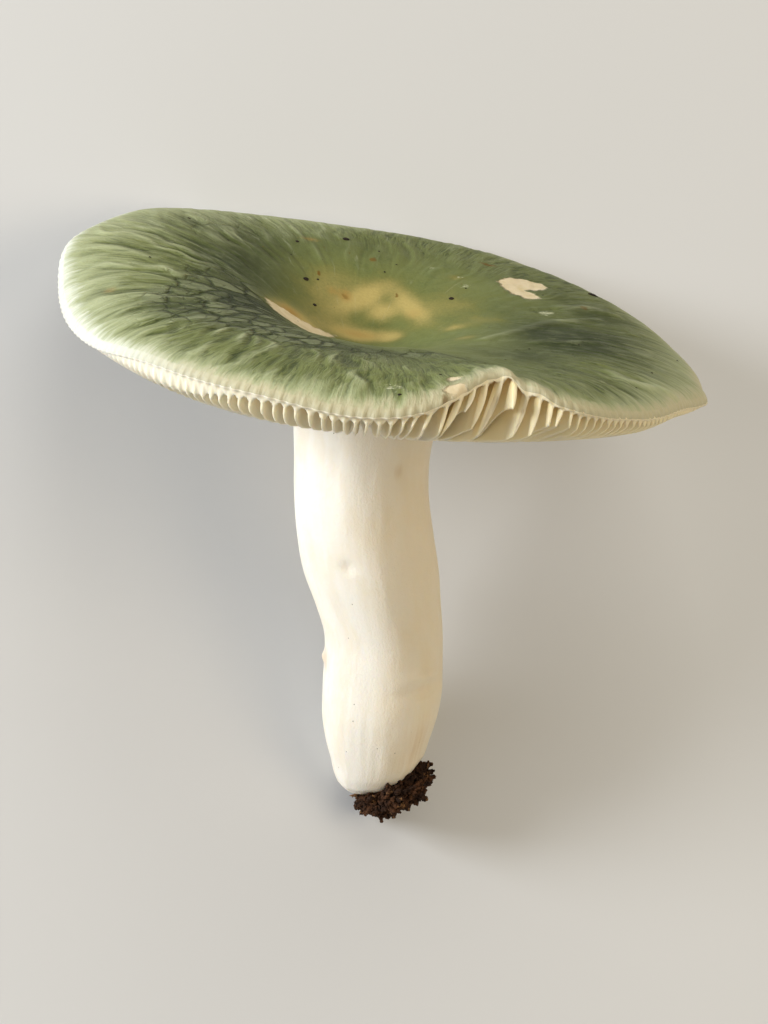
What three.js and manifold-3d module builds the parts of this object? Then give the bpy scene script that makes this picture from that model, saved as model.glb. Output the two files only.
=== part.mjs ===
// A picked green-cracking russula lying on a table: a broad, shallow-bowled cap with crowded
// gills under it, a stout stem, and the crumb of soil that came up with the stem's foot.
// Cap, gills and stem grew as one body, so they are one mesh; the soil is the other.
//
// Millimetres and degrees. The mushroom is worked out as it grew, stem up along +Z with the
// foot at the origin and the torn front of the cap towards -Y, and is then laid on its back:
// the stem's foot and two lobes of the cap's edge touch the table, the plane Z = 0.
import * as THREE from "three";
import { mergeVertices } from "three/addons/utils/BufferGeometryUtils.js";
import Module from "manifold-3d";

const wasm = await Module();
wasm.setup();

const TURN = 2 * Math.PI;
const radians = (degrees) => (degrees * Math.PI) / 180;

// Cap: where the middle of its edge is, how it leans on the stem, and its mean radius.
const CAP_MIDDLE = new THREE.Vector3(0.94, 0, 63.43);
const CAP_LEAN_X = 1.87;
const CAP_LEAN_Y = 9.38;
const CAP_RADIUS = 42.1;
// The gills gather on the stem, which stands this far off the cap's middle.
const STEM_OFFSET_X = -3.2;

// Broad waves of the cap's edge: how many round the edge, how far out and at what angle,
// how far up and at what angle.
const EDGE_WAVES = [
  { count: 2, out: 0.36, outAt: 26, up: 2.89, upAt: 112 },
  { count: 3, out: 1.98, outAt: 39, up: 0.61, upAt: 38 },
  { count: 4, out: 0.48, outAt: 52, up: 0.23, upAt: 50 },
  { count: 5, out: 0.25, outAt: 4, up: 0.34, upAt: 6 },
];
// Single lobes of the edge: where, half their width, how far out and up.
const EDGE_LOBES = [
  { at: 164, half: 9, out: 0.9, up: 0.7 },
  { at: 146, half: 10, out: 0, up: 0.5 },
  { at: 22, half: 12, out: 0, up: -0.6 },
  { at: -7, half: 6, out: 0.9, up: 0.2 },
  { at: -24, half: 10, out: 0, up: 0.8 },
  { at: 212, half: 20, out: 0, up: 0.8 },
  { at: 80, half: 9, out: 1.6, up: -0.5 },
  { at: 124, half: 9, out: 1.7, up: -0.6 },
  { at: 102, half: 14, out: -1.6, up: 0.5 },
];
// A torn place at the front, where the edge draws back and curls up.
const TEAR = { at: -71.9, half: 10, back: 6.5, up: 3.6, sharpness: 1.77, reach: 8 };
// Places where only the upper side's edge stands higher, so that more of the gills shows.
const RIM_LIFTS = [
  { at: -124.3, half: 22.3, up: 1.56 },
  { at: -33, half: 30, up: 0.66 },
];

// Cap section: a rounded shoulder inside the edge, lower at the back, and the bowl.
const SHOULDER = { height: 3.2, backLess: 0.45, inner: 1.35, outer: 6, peak: 0.57 };
const BOWL = { depth: 5.8, radius: 11.5, x: -3.8, y: 5.6 };
const EDGE_ROUND = { from: 0.965, height: 0.8 };
// Flesh thickness from the stem out to the edge: [share of the radius, thickness].
const FLESH = [[0.2, 7], [0.3, 5.5], [0.5, 4], [0.7, 2.8], [0.85, 1.9], [0.95, 1], [1, 0.4]];
// How far the gills' free edges hang below the level of the cap's edge.
const GILL_HANG = [
  [0.2, 11.3], [0.25, 10.3], [0.4, 8.6], [0.6, 6.8], [0.7, 5.9],
  [0.83, 4.7], [0.9, 3.9], [0.95, 3], [0.98, 2], [1, 0.9],
];
// Away from the front the outer ends of the gills are this much shallower.
const SIDE_LESS = 0.42;

// Gills: every other one stops part of the way in, as where two of them fork.
const GILL_COUNT = 108;
const GILL_EDGE_HALF = 0.31;
const GILL_ROOT_HALF = 0.44;
const GILL_WANDER = 0.09;
const LONG_GILLS_ONLY_FROM = 0.47;
const EDGE_GROOVE = 0.16;

// Stem rings as grown: [height, middle x, middle y, radius].
const STEM_RINGS = [
  [50.2, -2.3, 0, 9.25], [46.7, -2.7, 0, 8.85], [41.2, -2.9, 0, 8.8], [35.7, -2.5, 0, 8.9],
  [30.2, -1.7, 0, 8.75], [25.6, -0.8, 0, 8.15], [22, -0.2, 0, 7.8], [17.5, -0.25, 0.1, 7.85],
  [13, -0.4, 0.2, 7.9], [9.2, -0.75, 0.3, 7.6], [6, -1, 0.4, 6.9], [3.4, -1.1, 0.5, 6.15],
  [1.4, -1.6, 0.5, 5.15], [-0.1, -2.1, 0.5, 3.8], [-0.9, -2.5, 0.5, 2.1],
];
const STEM_FOOT = [-1.2, -2.8, 0.5];
const STEM_SIDES = 28;
const STEM_FLUTE = 0.14;

// Soil under the foot: a flattened crumb, lumpy all over, that fits round the stem.
const SOIL = { x: 1.1, y: -0.8, z: -0.6, halfX: 5.4, halfY: 4.2, halfZ: 3, lean: 26 };
const SOIL_LUMP = 0.42;
const SOIL_GAP = 0.3;

// Lying down: the turns about X and then Y that bring the mushroom onto its three resting
// places, and how deep its soft flesh flattens there.
const LAID = { x: -62, y: -15.5 };
const REST_FLAT = 0.35;
// Side of the block that stands for the table where the resting places are cut flat.
const TABLE = 200;

const FLESH_FINISH = new THREE.MeshStandardMaterial({ color: 0x8fa06c, roughness: 0.62, metalness: 0 });
const SOIL_FINISH = new THREE.MeshStandardMaterial({ color: 0x3a2113, roughness: 0.95, metalness: 0 });

// Repeatable random numbers from 0 to 1.
function seeded(seed) {
  let state = seed;
  return () => {
    state = (Math.imul(state, 1664525) + 1013904223) >>> 0;
    return state / 2 ** 32;
  };
}

// Reads a table of [place, value] rows with a straight line between them.
function alongTable(table, place) {
  const last = table.length - 1;
  if (place <= table[0][0]) return table[0][1];
  if (place >= table[last][0]) return table[last][1];
  const next = table.findIndex((row) => row[0] >= place);
  const [fromPlace, fromValue] = table[next - 1];
  const [toPlace, toValue] = table[next];
  return fromValue + ((toValue - fromValue) * (place - fromPlace)) / (toPlace - fromPlace);
}

// The turn from one angle to another, from minus half a turn to half a turn, in degrees.
function turnFrom(angle, at) {
  const degrees = (angle * 180) / Math.PI - at;
  return ((((degrees + 180) % 360) + 360) % 360) - 180;
}

const bell = (angle, at, half) => Math.exp(-((turnFrom(angle, at) / half) ** 2));
const rimLift = (angle) =>
  RIM_LIFTS.reduce((sum, l) => sum + l.up * Math.exp(-((turnFrom(angle, l.at) / l.half) ** 4)), 0);
const torn = (angle) =>
  Math.exp(-((Math.abs(turnFrom(angle, TEAR.at)) / TEAR.half) ** TEAR.sharpness));

// Radius of the cap's edge before and after the tear.
function wholeRadius(angle) {
  const waves = EDGE_WAVES.reduce(
    (sum, w) => sum + w.out * Math.cos(w.count * (angle - radians(w.outAt))), 0);
  const lobes = EDGE_LOBES.reduce((sum, l) => sum + l.out * bell(angle, l.at, l.half), 0);
  return CAP_RADIUS + waves + lobes;
}
const edgeRadius = (angle) => wholeRadius(angle) - TEAR.back * torn(angle);

// Height of the whole edge above the plane through it.
function wholeHeight(angle) {
  const waves = EDGE_WAVES.reduce(
    (sum, w) => sum + w.up * Math.cos(w.count * (angle - radians(w.upAt))), 0);
  return waves + EDGE_LOBES.reduce((sum, l) => sum + l.up * bell(angle, l.at, l.half), 0);
}

// Where a share of the way out to the edge is, across the cap.
const across = (share, angle, more = 0) => {
  const r = share * edgeRadius(angle) + more;
  return [r * Math.cos(angle) + STEM_OFFSET_X * (1 - share) ** 2, r * Math.sin(angle)];
};

// Height of the cap's upper side at a share of the way out to the edge.
function topHeight(share, angle) {
  const [x, y] = across(share, angle);
  const bowlAway = Math.hypot(x - BOWL.x, y - BOWL.y) / BOWL.radius;
  const back = 0.5 + 0.5 * Math.sin(angle);
  const shoulder = SHOULDER.height * (1 - SHOULDER.backLess * back) / SHOULDER.peak;
  const crown = shoulder * share ** SHOULDER.inner * (1 - share ** SHOULDER.outer);
  const bowl = BOWL.depth * Math.exp(-(bowlAway ** 2));
  const rounding = Math.max(0, (share - EDGE_ROUND.from) / (1 - EDGE_ROUND.from));
  const edgeDrop = EDGE_ROUND.height * (1 - Math.sqrt(1 - rounding ** 2));
  const curl = (TEAR.up * torn(angle) + rimLift(angle)) * share ** TEAR.reach;
  return wholeHeight(angle) * share ** 3 + curl + crown - bowl - edgeDrop;
}

// Height of the flesh between the gills, and of the gills' free edges.
const fleshHeight = (share, angle) => topHeight(share, angle) - alongTable(FLESH, share);
function gillHeight(share, angle) {
  const reach = (share * edgeRadius(angle)) / wholeRadius(angle);
  const front = Math.max(0, -Math.sin(angle));
  const hang = alongTable(GILL_HANG, reach) * (1 - SIDE_LESS * (1 - front) * reach ** 2);
  return Math.min(wholeHeight(angle) * reach ** 3 - hang, fleshHeight(share, angle));
}

// A point of the cap, as grown, from its share of the radius, angle and height.
const capLean = new THREE.Matrix4()
  .makeRotationX(radians(CAP_LEAN_X))
  .multiply(new THREE.Matrix4().makeRotationY(radians(CAP_LEAN_Y)));
function capPoint(share, angle, height, more = 0) {
  const [x, y] = across(share, angle, more);
  return new THREE.Vector3(x, y, height).applyMatrix4(capLean).add(CAP_MIDDLE);
}

// Evenly spaced angles round a ring.
const evenAngles = (count) => Array.from({ length: count }, (_, i) => (TURN * i) / count);

// The middle angle of each gill, a little unevenly spaced.
const random = seeded(11);
const gillAngles = evenAngles(GILL_COUNT).map(
  (angle) => angle + (random() - 0.5) * GILL_WANDER * 2 * (TURN / GILL_COUNT));

// A ring across the gills: four points a gill, two at its root and two on its free edge.
function gillRing(share, longOnly) {
  const ring = [];
  gillAngles.forEach((middle, i) => {
    const isShort = i % 2 === 1;
    if (longOnly && isShort) return;
    const r = share * edgeRadius(middle);
    const fade = isShort ? Math.min(1, (share - LONG_GILLS_ONLY_FROM) / 0.12) : 1;
    const narrow = 0.35 + 0.65 * fade;
    for (const half of [-GILL_ROOT_HALF, -GILL_EDGE_HALF, GILL_EDGE_HALF, GILL_ROOT_HALF]) {
      const angle = middle + (half * narrow) / r;
      const flesh = fleshHeight(share, angle);
      const onEdge = Math.abs(half) === GILL_EDGE_HALF;
      const height = onEdge ? flesh + fade * (gillHeight(share, angle) - flesh) : flesh;
      ring.push({ angle, point: capPoint(share, angle, height) });
    }
  });
  return ring;
}

// The cap's outermost ring: the gills' ends stand out of it as blunt teeth.
function edgeRing() {
  return gillRing(1, false).map(({ angle }, i) => {
    const tooth = i % 4 === 1 || i % 4 === 2 ? EDGE_GROOVE : 0;
    return { angle, point: capPoint(1, angle, topHeight(1, angle), tooth) };
  });
}

// A ring of the upper side, with low ridges where it nears the edge.
function topRing(share, angles, ridge = 0) {
  return angles.map((angle, i) => {
    const height = topHeight(share, angle) + (i % 2 === 0 ? ridge : 0);
    return { angle, point: capPoint(share, angle, height) };
  });
}

// A ring of the stem, faintly fluted.
function stemRing([height, x, y, radius]) {
  return evenAngles(STEM_SIDES).map((angle) => {
    const r = radius * (1 + (STEM_FLUTE / radius) * Math.sin(5 * angle + height * 0.09));
    return { angle, point: new THREE.Vector3(x + r * Math.cos(angle), y + r * Math.sin(angle), height) };
  });
}

// Joins rings, listed from the first pole to the last, into one closed surface. Rings of the
// same count join point to point, others by angle.
function skinOver(firstPole, rings, lastPole) {
  const positions = [];
  const faces = [];
  const add = (point) => {
    positions.push(point.x, point.y, point.z);
    return positions.length / 3 - 1;
  };
  const first = add(firstPole);
  const placed = rings.map((ring) => ring.map(({ angle, point }) => ({ angle, index: add(point) })));
  const last = add(lastPole);
  const at = (ring, i) => ring[i % ring.length].index;
  const angleAt = (ring, i) => ring[i % ring.length].angle + (i >= ring.length ? TURN : 0);

  placed[0].forEach((_, i) => faces.push(first, at(placed[0], i), at(placed[0], i + 1)));
  for (let k = 1; k < placed.length; k += 1) {
    const [a, b] = [placed[k - 1], placed[k]];
    let [i, j] = [0, 0];
    while (i < a.length || j < b.length) {
      const sameCount = a.length === b.length;
      const bIsNext = sameCount ? j <= i : angleAt(b, j + 1) <= angleAt(a, i + 1);
      if (j < b.length && (i >= a.length || bIsNext)) {
        faces.push(at(a, i), at(b, j), at(b, j + 1));
        j += 1;
      } else {
        faces.push(at(a, i), at(b, j), at(a, i + 1));
        i += 1;
      }
    }
  }

  const end = placed[placed.length - 1];
  end.forEach((_, i) => faces.push(at(end, i), last, at(end, i + 1)));
  return new THREE.BufferGeometry()
    .setAttribute("position", new THREE.Float32BufferAttribute(positions, 3))
    .setIndex(faces);
}

// Cap, gills and stem in one skin, from the bottom of the bowl to the stem's foot.
function mushroomGeometry() {
  const coarse = evenAngles(84);
  const ridged = evenAngles(2 * GILL_COUNT);
  const rings = [
    ...[0.09, 0.18, 0.27, 0.36, 0.46, 0.58, 0.7, 0.81].map((share) => topRing(share, coarse)),
    topRing(0.9, ridged, EDGE_GROOVE),
    topRing(0.965, ridged, EDGE_GROOVE),
    edgeRing(),
    ...[0.985, 0.95, 0.89, 0.8, 0.69, 0.58, 0.48].map((share) => gillRing(share, false)),
    ...[0.41, 0.34, 0.28, 0.24].map((share) => gillRing(share, true)),
    ...STEM_RINGS.map(stemRing),
  ];
  const [footZ, footX, footY] = STEM_FOOT;
  return skinOver(capPoint(0, 0, topHeight(0, 0)), rings, new THREE.Vector3(footX, footY, footZ));
}

// A closed geometry as a solid, and back.
function solidOf(geometry) {
  const bare = geometry.clone();
  bare.deleteAttribute("normal");
  bare.deleteAttribute("uv");
  const merged = mergeVertices(bare, 1e-4);
  return new wasm.Manifold(
    new wasm.Mesh({
      numProp: 3,
      vertProperties: merged.attributes.position.array,
      triVerts: new Uint32Array(merged.index.array),
    }),
  );
}
function geometryOf(solid) {
  const mesh = solid.getMesh();
  return new THREE.BufferGeometry()
    .setAttribute("position", new THREE.BufferAttribute(mesh.vertProperties, 3))
    .setIndex(new THREE.BufferAttribute(mesh.triVerts, 1));
}

// The soil crumb, hollowed where the stem's foot sits in it with a hair's gap all round.
function soilGeometry() {
  const crumb = new THREE.IcosahedronGeometry(1, 9);
  const lumps = crumb.attributes.position;
  const v = new THREE.Vector3();
  for (let i = 0; i < lumps.count; i += 1) {
    v.fromBufferAttribute(lumps, i);
    const lump =
      Math.sin(7.3 * v.x + 1.1) * Math.sin(6.1 * v.y + 0.4) +
      Math.sin(9.7 * v.z + 4.2 * v.x) * Math.cos(8.3 * v.y - 2.2 * v.z);
    v.multiply(new THREE.Vector3(SOIL.halfX, SOIL.halfY, SOIL.halfZ));
    v.addScaledVector(v.clone().normalize(), SOIL_LUMP * lump);
    lumps.setXYZ(i, v.x, v.y, v.z);
  }
  crumb.rotateY(-radians(SOIL.lean)).translate(SOIL.x, SOIL.y, SOIL.z);
  const wider = STEM_RINGS.map(([height, x, y, radius]) =>
    stemRing([height - SOIL_GAP, x, y, radius + 2 * SOIL_GAP]));
  const [footZ, footX, footY] = STEM_FOOT;
  const socket = skinOver(
    new THREE.Vector3(STEM_RINGS[0][1], 0, STEM_RINGS[0][0]),
    wider,
    new THREE.Vector3(footX, footY, footZ - 2 * SOIL_GAP),
  );
  return geometryOf(solidOf(crumb).subtract(solidOf(socket)));
}

// The box round a geometry as it lies once turned.
function lyingBox(geometry, turned) {
  const lying = geometry.clone().applyMatrix4(turned);
  lying.computeBoundingBox();
  return lying.boundingBox;
}

const picked = new THREE.Group();
picked.rotation.set(radians(LAID.x), radians(LAID.y), 0, "ZYX");
picked.updateMatrix();

// The mushroom sinks REST_FLAT into the table, and the whole is centred over the origin.
const grown = mushroomGeometry();
const crumb = soilGeometry();
const mushroomBox = lyingBox(grown, picked.matrix);
const middle = mushroomBox.clone().union(lyingBox(crumb, picked.matrix)).getCenter(new THREE.Vector3());
picked.position.set(-middle.x, -middle.y, -mushroomBox.min.z - REST_FLAT);
picked.updateMatrix();

// What sinks in is flattened: the block under the table's plane is cut away.
const table = new THREE.BoxGeometry(TABLE, TABLE, TABLE).translate(0, 0, -TABLE / 2);
table.applyMatrix4(picked.matrix.clone().invert());
const rested = geometryOf(solidOf(grown).subtract(solidOf(table)));

const mushroom = new THREE.Mesh(rested, FLESH_FINISH);
mushroom.name = "mushroom";

const soil = new THREE.Mesh(crumb, SOIL_FINISH);
soil.name = "soil";

picked.add(mushroom, soil);

export default picked;
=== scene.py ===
"""Looks of a picked green-cracking russula that lies on a table.

The mushroom is worked out as it grew, in millimetres, with its stem up along +Z and the torn
front of its cap towards -Y. Lying then turns it onto the three places that it rests on and
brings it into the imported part's frame, in metres.
"""

from __future__ import annotations

import logging
import math
from dataclasses import dataclass, field
from enum import Enum

import bmesh
import bpy
import numpy as np
from mathutils import Matrix, Vector


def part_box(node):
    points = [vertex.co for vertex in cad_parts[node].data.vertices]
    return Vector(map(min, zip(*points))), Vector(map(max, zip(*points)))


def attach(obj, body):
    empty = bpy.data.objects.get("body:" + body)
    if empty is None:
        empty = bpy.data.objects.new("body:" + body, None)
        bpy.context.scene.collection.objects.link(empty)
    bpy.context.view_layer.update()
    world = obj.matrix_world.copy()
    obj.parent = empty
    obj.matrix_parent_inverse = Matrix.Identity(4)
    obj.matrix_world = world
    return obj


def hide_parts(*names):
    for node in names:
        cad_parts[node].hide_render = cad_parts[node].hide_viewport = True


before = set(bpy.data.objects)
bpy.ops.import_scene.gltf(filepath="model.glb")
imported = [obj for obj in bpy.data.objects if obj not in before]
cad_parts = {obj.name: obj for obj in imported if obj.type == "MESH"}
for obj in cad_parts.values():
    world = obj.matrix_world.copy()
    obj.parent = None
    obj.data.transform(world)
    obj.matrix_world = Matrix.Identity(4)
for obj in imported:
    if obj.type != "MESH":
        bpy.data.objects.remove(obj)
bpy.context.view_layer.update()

LOG = logging.getLogger("russula")
MM = 0.001
TURN = 2 * math.pi
BODY = "root"
FLESH_SLOT = "mushroom_flesh"
SOIL_SLOT = "soil"

Colour = tuple[float, float, float]


class Place(str, Enum):
    """Names of the values that the meshes carry for their finishes."""

    PLAN = "plan"
    ROUND = "round"
    CREST = "crest"
    CREAM = "cream"
    YELLOW = "yellow"
    TAN = "tan"
    PALE = "pale"
    SCAR = "scar"
    AREOLE = "areole"
    DEEP_GREEN_AND_PAINTED_SHADE = "deep"
    FLECK = "fleck"
    HANG = "hang"
    INWARD = "inward"
    SIDE = "side"
    POCKET = "pocket"
    EVEN = "even"


def colour(red: int, green: int, blue: int) -> Colour:
    """A display colour of 0 to 255 a channel as the linear values that shaders take."""
    return tuple(((c / 255 + 0.055) / 1.055) ** 2.4 if c > 10 else c / 255 / 12.92 for c in (red, green, blue))


def turn_from(angle: np.ndarray, at: float) -> np.ndarray:
    """The turn from `at` to each angle.

    Args:
        angle: Angles in radians.
        at: The angle to measure from, in degrees.

    Returns:
        Degrees from -180 to 180.
    """
    return (np.degrees(angle) - at + 180) % 360 - 180


def bell(angle: np.ndarray, at: float, half: float) -> np.ndarray:
    """A bell of height 1 round an angle, with `half` its half width in degrees."""
    return np.exp(-((turn_from(angle, at) / half) ** 2))


def smooth_step(value: np.ndarray, low: float, high: float) -> np.ndarray:
    """Rises smoothly from 0 at `low` to 1 at `high`."""
    t = np.clip((value - low) / (high - low), 0, 1)
    return t * t * (3 - 2 * t)


class Ripple:
    """Smooth random relief over an angle and a distance, the same on each run and closed round the turn."""

    def __init__(self, seed: int, around: int, step: float, reach: float = 120.0) -> None:
        """Draws the heights that the relief runs through.

        Args:
            seed: Seed of the draw.
            around: Number of heights in one turn.
            step: Distance between heights along the other way.
            reach: Farthest distance that is asked for.
        """
        self.around = around
        self.step = step
        rows = int(reach / step) + 3
        self.heights = np.random.default_rng(seed).uniform(-1, 1, (rows, around))

    def __call__(self, angle: np.ndarray, distance: np.ndarray) -> np.ndarray:
        """Heights from -1 to 1 at the given angles, in radians, and distances."""
        u = np.asarray(angle) / TURN * self.around
        v = np.clip(np.asarray(distance) / self.step, 0, self.heights.shape[0] - 2)
        i, j = np.floor(u).astype(int), np.floor(v).astype(int)
        fu, fv = u - i, v - j
        fu, fv = fu * fu * (3 - 2 * fu), fv * fv * (3 - 2 * fv)
        i0, i1 = i % self.around, (i + 1) % self.around
        low = self.heights[j, i0] * (1 - fu) + self.heights[j, i1] * fu
        high = self.heights[j + 1, i0] * (1 - fu) + self.heights[j + 1, i1] * fu
        return low * (1 - fv) + high * fv


@dataclass(frozen=True)
class Wave:
    """A broad wave of the cap's edge: how many round the edge, how far out and up, and where."""

    count: int
    out: float
    out_at: float
    up: float
    up_at: float


@dataclass(frozen=True)
class Lobe:
    """A single lobe of the cap's edge: where, half its width in degrees, how far out and up."""

    at: float
    half: float
    out: float
    up: float


@dataclass(frozen=True)
class Tear:
    """The torn place at the front, where the edge draws back, curls up and shows the gills behind it."""

    at: float = -71.9
    half: float = 10.0
    back: float = 6.5
    up: float = 3.6
    sharpness: float = 1.77
    reach: float = 8.0

    def __call__(self, angle: np.ndarray) -> np.ndarray:
        """How torn the edge is at each angle, from 0 to 1."""
        return np.exp(-((np.abs(turn_from(angle, self.at)) / self.half) ** self.sharpness))


@dataclass(frozen=True)
class RimLift:
    """A place where only the upper side's edge stands higher: where, half its width and how far."""

    at: float
    half: float
    up: float

    def __call__(self, angle: np.ndarray) -> np.ndarray:
        """The lift at each angle."""
        return self.up * np.exp(-((turn_from(angle, self.at) / self.half) ** 4))


@dataclass(frozen=True)
class CapForm:
    """Form of the cap as it grew: its edge, its bowl, its flesh and how deep its gills hang."""

    middle: tuple[float, float, float] = (0.94, 0.0, 63.43)
    lean_x: float = 1.87
    lean_y: float = 9.38
    radius: float = 42.1
    stem_offset: float = -3.2
    waves: tuple[Wave, ...] = (
        Wave(2, 0.36, 26, 2.89, 112),
        Wave(3, 1.98, 39, 0.61, 38),
        Wave(4, 0.48, 52, 0.23, 50),
        Wave(5, 0.25, 4, 0.34, 6),
    )
    lobes: tuple[Lobe, ...] = (
        Lobe(164, 9, 0.9, 0.7),
        Lobe(146, 10, 0, 0.5),
        Lobe(22, 12, 0, -0.6),
        Lobe(-7, 6, 0.9, 0.2),
        Lobe(-24, 10, 0, 0.8),
        Lobe(212, 20, 0, 0.8),
        Lobe(80, 9, 1.6, -0.5),
        Lobe(124, 9, 1.7, -0.6),
        Lobe(102, 14, -1.6, 0.5),
    )
    tear: Tear = Tear()
    rim_lifts: tuple[RimLift, ...] = (RimLift(-124.3, 22.3, 1.56), RimLift(-33, 30, 0.66))
    shoulder: float = 3.2
    shoulder_back_less: float = 0.45
    shoulder_inner: float = 1.35
    shoulder_outer: float = 6.0
    shoulder_peak: float = 0.57
    bowl_depth: float = 5.8
    bowl_radius: float = 11.5
    bowl_x: float = -3.8
    bowl_y: float = 5.6
    edge_round_from: float = 0.965
    edge_round: float = 0.8
    flesh: tuple[tuple[float, float], ...] = (
        (0.2, 7), (0.3, 5.5), (0.5, 4), (0.7, 2.8), (0.85, 1.9), (0.95, 1.0), (1, 0.4),
    )
    gill_hang: tuple[tuple[float, float], ...] = (
        (0.2, 11.3), (0.25, 10.3), (0.4, 8.6), (0.6, 6.8), (0.7, 5.9),
        (0.83, 4.7), (0.9, 3.9), (0.95, 3), (0.98, 2), (1, 0.9),
    )
    side_less: float = 0.42
    ragged: float = 0.24
    rags: int = 140
    scallop: float = 0.12
    scallop_least: float = 0.35

    def whole_radius(self, angle: np.ndarray) -> np.ndarray:
        """Radius of the edge as if it were not torn."""
        r = self.radius + sum(w.out * np.cos(w.count * (angle - math.radians(w.out_at))) for w in self.waves)
        return r + sum(lobe.out * bell(angle, lobe.at, lobe.half) for lobe in self.lobes)

    def edge_radius(self, angle: np.ndarray) -> np.ndarray:
        """Radius of the edge, drawn back where it is torn."""
        return self.whole_radius(angle) - self.tear.back * self.tear(angle)

    def scallops(self, angle: np.ndarray, side: np.ndarray) -> np.ndarray:
        """How far the rim stands out between the gills, from how far across its gill a place is."""
        front = np.maximum(0, -np.sin(angle))
        return self.scallop * (self.scallop_least + (1 - self.scallop_least) * front) * np.cos(TURN * side)

    def whole_height(self, angle: np.ndarray) -> np.ndarray:
        """Height of the untorn edge above the plane through it."""
        z = sum(w.up * np.cos(w.count * (angle - math.radians(w.up_at))) for w in self.waves)
        return z + sum(lobe.up * bell(angle, lobe.at, lobe.half) for lobe in self.lobes)

    def across(self, share: np.ndarray, angle: np.ndarray, more: np.ndarray | float = 0.0) -> tuple[np.ndarray, np.ndarray]:
        """Where a share of the way out to the edge is, across the cap.

        Args:
            share: 0 over the stem to 1 at the edge.
            angle: Angles in radians.
            more: Millimetres to add to the radius.

        Returns:
            x and y in the plane of the edge.
        """
        r = share * self.edge_radius(angle) + more
        return r * np.cos(angle) + self.stem_offset * (1 - share) ** 2, r * np.sin(angle)

    def top(self, share: np.ndarray, angle: np.ndarray) -> np.ndarray:
        """Height of the cap's upper side."""
        x, y = self.across(share, angle)
        away = np.hypot(x - self.bowl_x, y - self.bowl_y) / self.bowl_radius
        back = 0.5 + 0.5 * np.sin(angle)
        shoulder = self.shoulder * (1 - self.shoulder_back_less * back) / self.shoulder_peak
        crown = shoulder * share**self.shoulder_inner * (1 - share**self.shoulder_outer)
        rounding = np.clip((share - self.edge_round_from) / (1 - self.edge_round_from), 0, 1)
        drop = self.edge_round * (1 - np.sqrt(1 - rounding**2))
        ragged = 1 + self.ragged * Ripple(27, self.rags, 40)(angle, share * 0)
        curl = self.tear.up * self.tear(angle) * ragged + sum(lift(angle) for lift in self.rim_lifts)
        return self.whole_height(angle) * share**3 + curl * share**self.tear.reach + crown - self.bowl_depth * np.exp(-(away**2)) - drop

    def flesh_thickness(self, share: np.ndarray) -> np.ndarray:
        """Thickness of the flesh between the skin and the gills' roots."""
        return np.interp(share, *zip(*self.flesh))

    def roots(self, share: np.ndarray, angle: np.ndarray) -> np.ndarray:
        """Height of the flesh between the gills."""
        return self.top(share, angle) - self.flesh_thickness(share)

    def gill_edges(self, share: np.ndarray, angle: np.ndarray, more: np.ndarray | float = 0.0) -> np.ndarray:
        """Height of the gills' free edges, `more` millimetres farther out than the flesh over them."""
        reach = (share * self.edge_radius(angle) + more) / self.whole_radius(angle)
        front = np.maximum(0, -np.sin(angle))
        hang = np.interp(reach, *zip(*self.gill_hang)) * (1 - self.side_less * (1 - front) * reach**2)
        return np.minimum(self.whole_height(angle) * reach**3 - hang, self.roots(share, angle))

    def lean(self) -> np.ndarray:
        """The cap's lean on the stem, as a rotation."""
        turned = Matrix.Rotation(math.radians(self.lean_x), 3, "X") @ Matrix.Rotation(math.radians(self.lean_y), 3, "Y")
        return np.array(turned)

    def point(self, x: np.ndarray, y: np.ndarray, height: np.ndarray) -> np.ndarray:
        """Points of the cap as grown, from places in the plane of the edge."""
        flat = np.stack(np.broadcast_arrays(x, y, height), -1)
        return flat @ self.lean().T + np.array(self.middle)


@dataclass
class Lying:
    """Turns what grew upright onto its resting places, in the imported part's frame."""

    turn_x: float = -62.0
    turn_y: float = -15.5
    offset: np.ndarray = field(default_factory=lambda: np.zeros(3))

    def rotation(self) -> np.ndarray:
        """The turn from the grown frame to the table's."""
        turned = Matrix.Rotation(math.radians(self.turn_y), 3, "Y") @ Matrix.Rotation(math.radians(self.turn_x), 3, "X")
        return np.array(turned)

    def fit(self, cap_points: np.ndarray) -> None:
        """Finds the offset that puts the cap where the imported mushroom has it.

        Args:
            cap_points: Points over the whole cap, as grown.
        """
        low, high = (np.array(corner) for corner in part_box("mushroom"))
        lying = cap_points @ self.rotation().T * MM
        own_low, own_high = lying.min(0), lying.max(0)
        middle_x = (low[0] + high[0]) / 2 - (own_low[0] + own_high[0]) / 2
        self.offset = np.array((middle_x, high[1] - own_high[1], high[2] - own_high[2]))

    def settle(self, points: np.ndarray, press: bool = True) -> np.ndarray:
        """Points on the table, in metres.

        Args:
            points: Points as grown, in millimetres.
            press: Whether what would sink into the table is flattened onto it.

        Returns:
            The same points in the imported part's frame.
        """
        lying = points @ self.rotation().T * MM + self.offset
        if press:
            lying[..., 2] = np.maximum(lying[..., 2], 0)
        return lying

    def direction(self, vectors: np.ndarray) -> np.ndarray:
        """Vectors turned onto the table, with no shift, in metres."""
        return vectors @ self.rotation().T * MM


@dataclass
class Ring:
    """One ring of a closed surface: rising angles in radians, points as grown, and named values."""

    angles: np.ndarray
    points: np.ndarray
    values: dict[Place, np.ndarray] = field(default_factory=dict)


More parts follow.
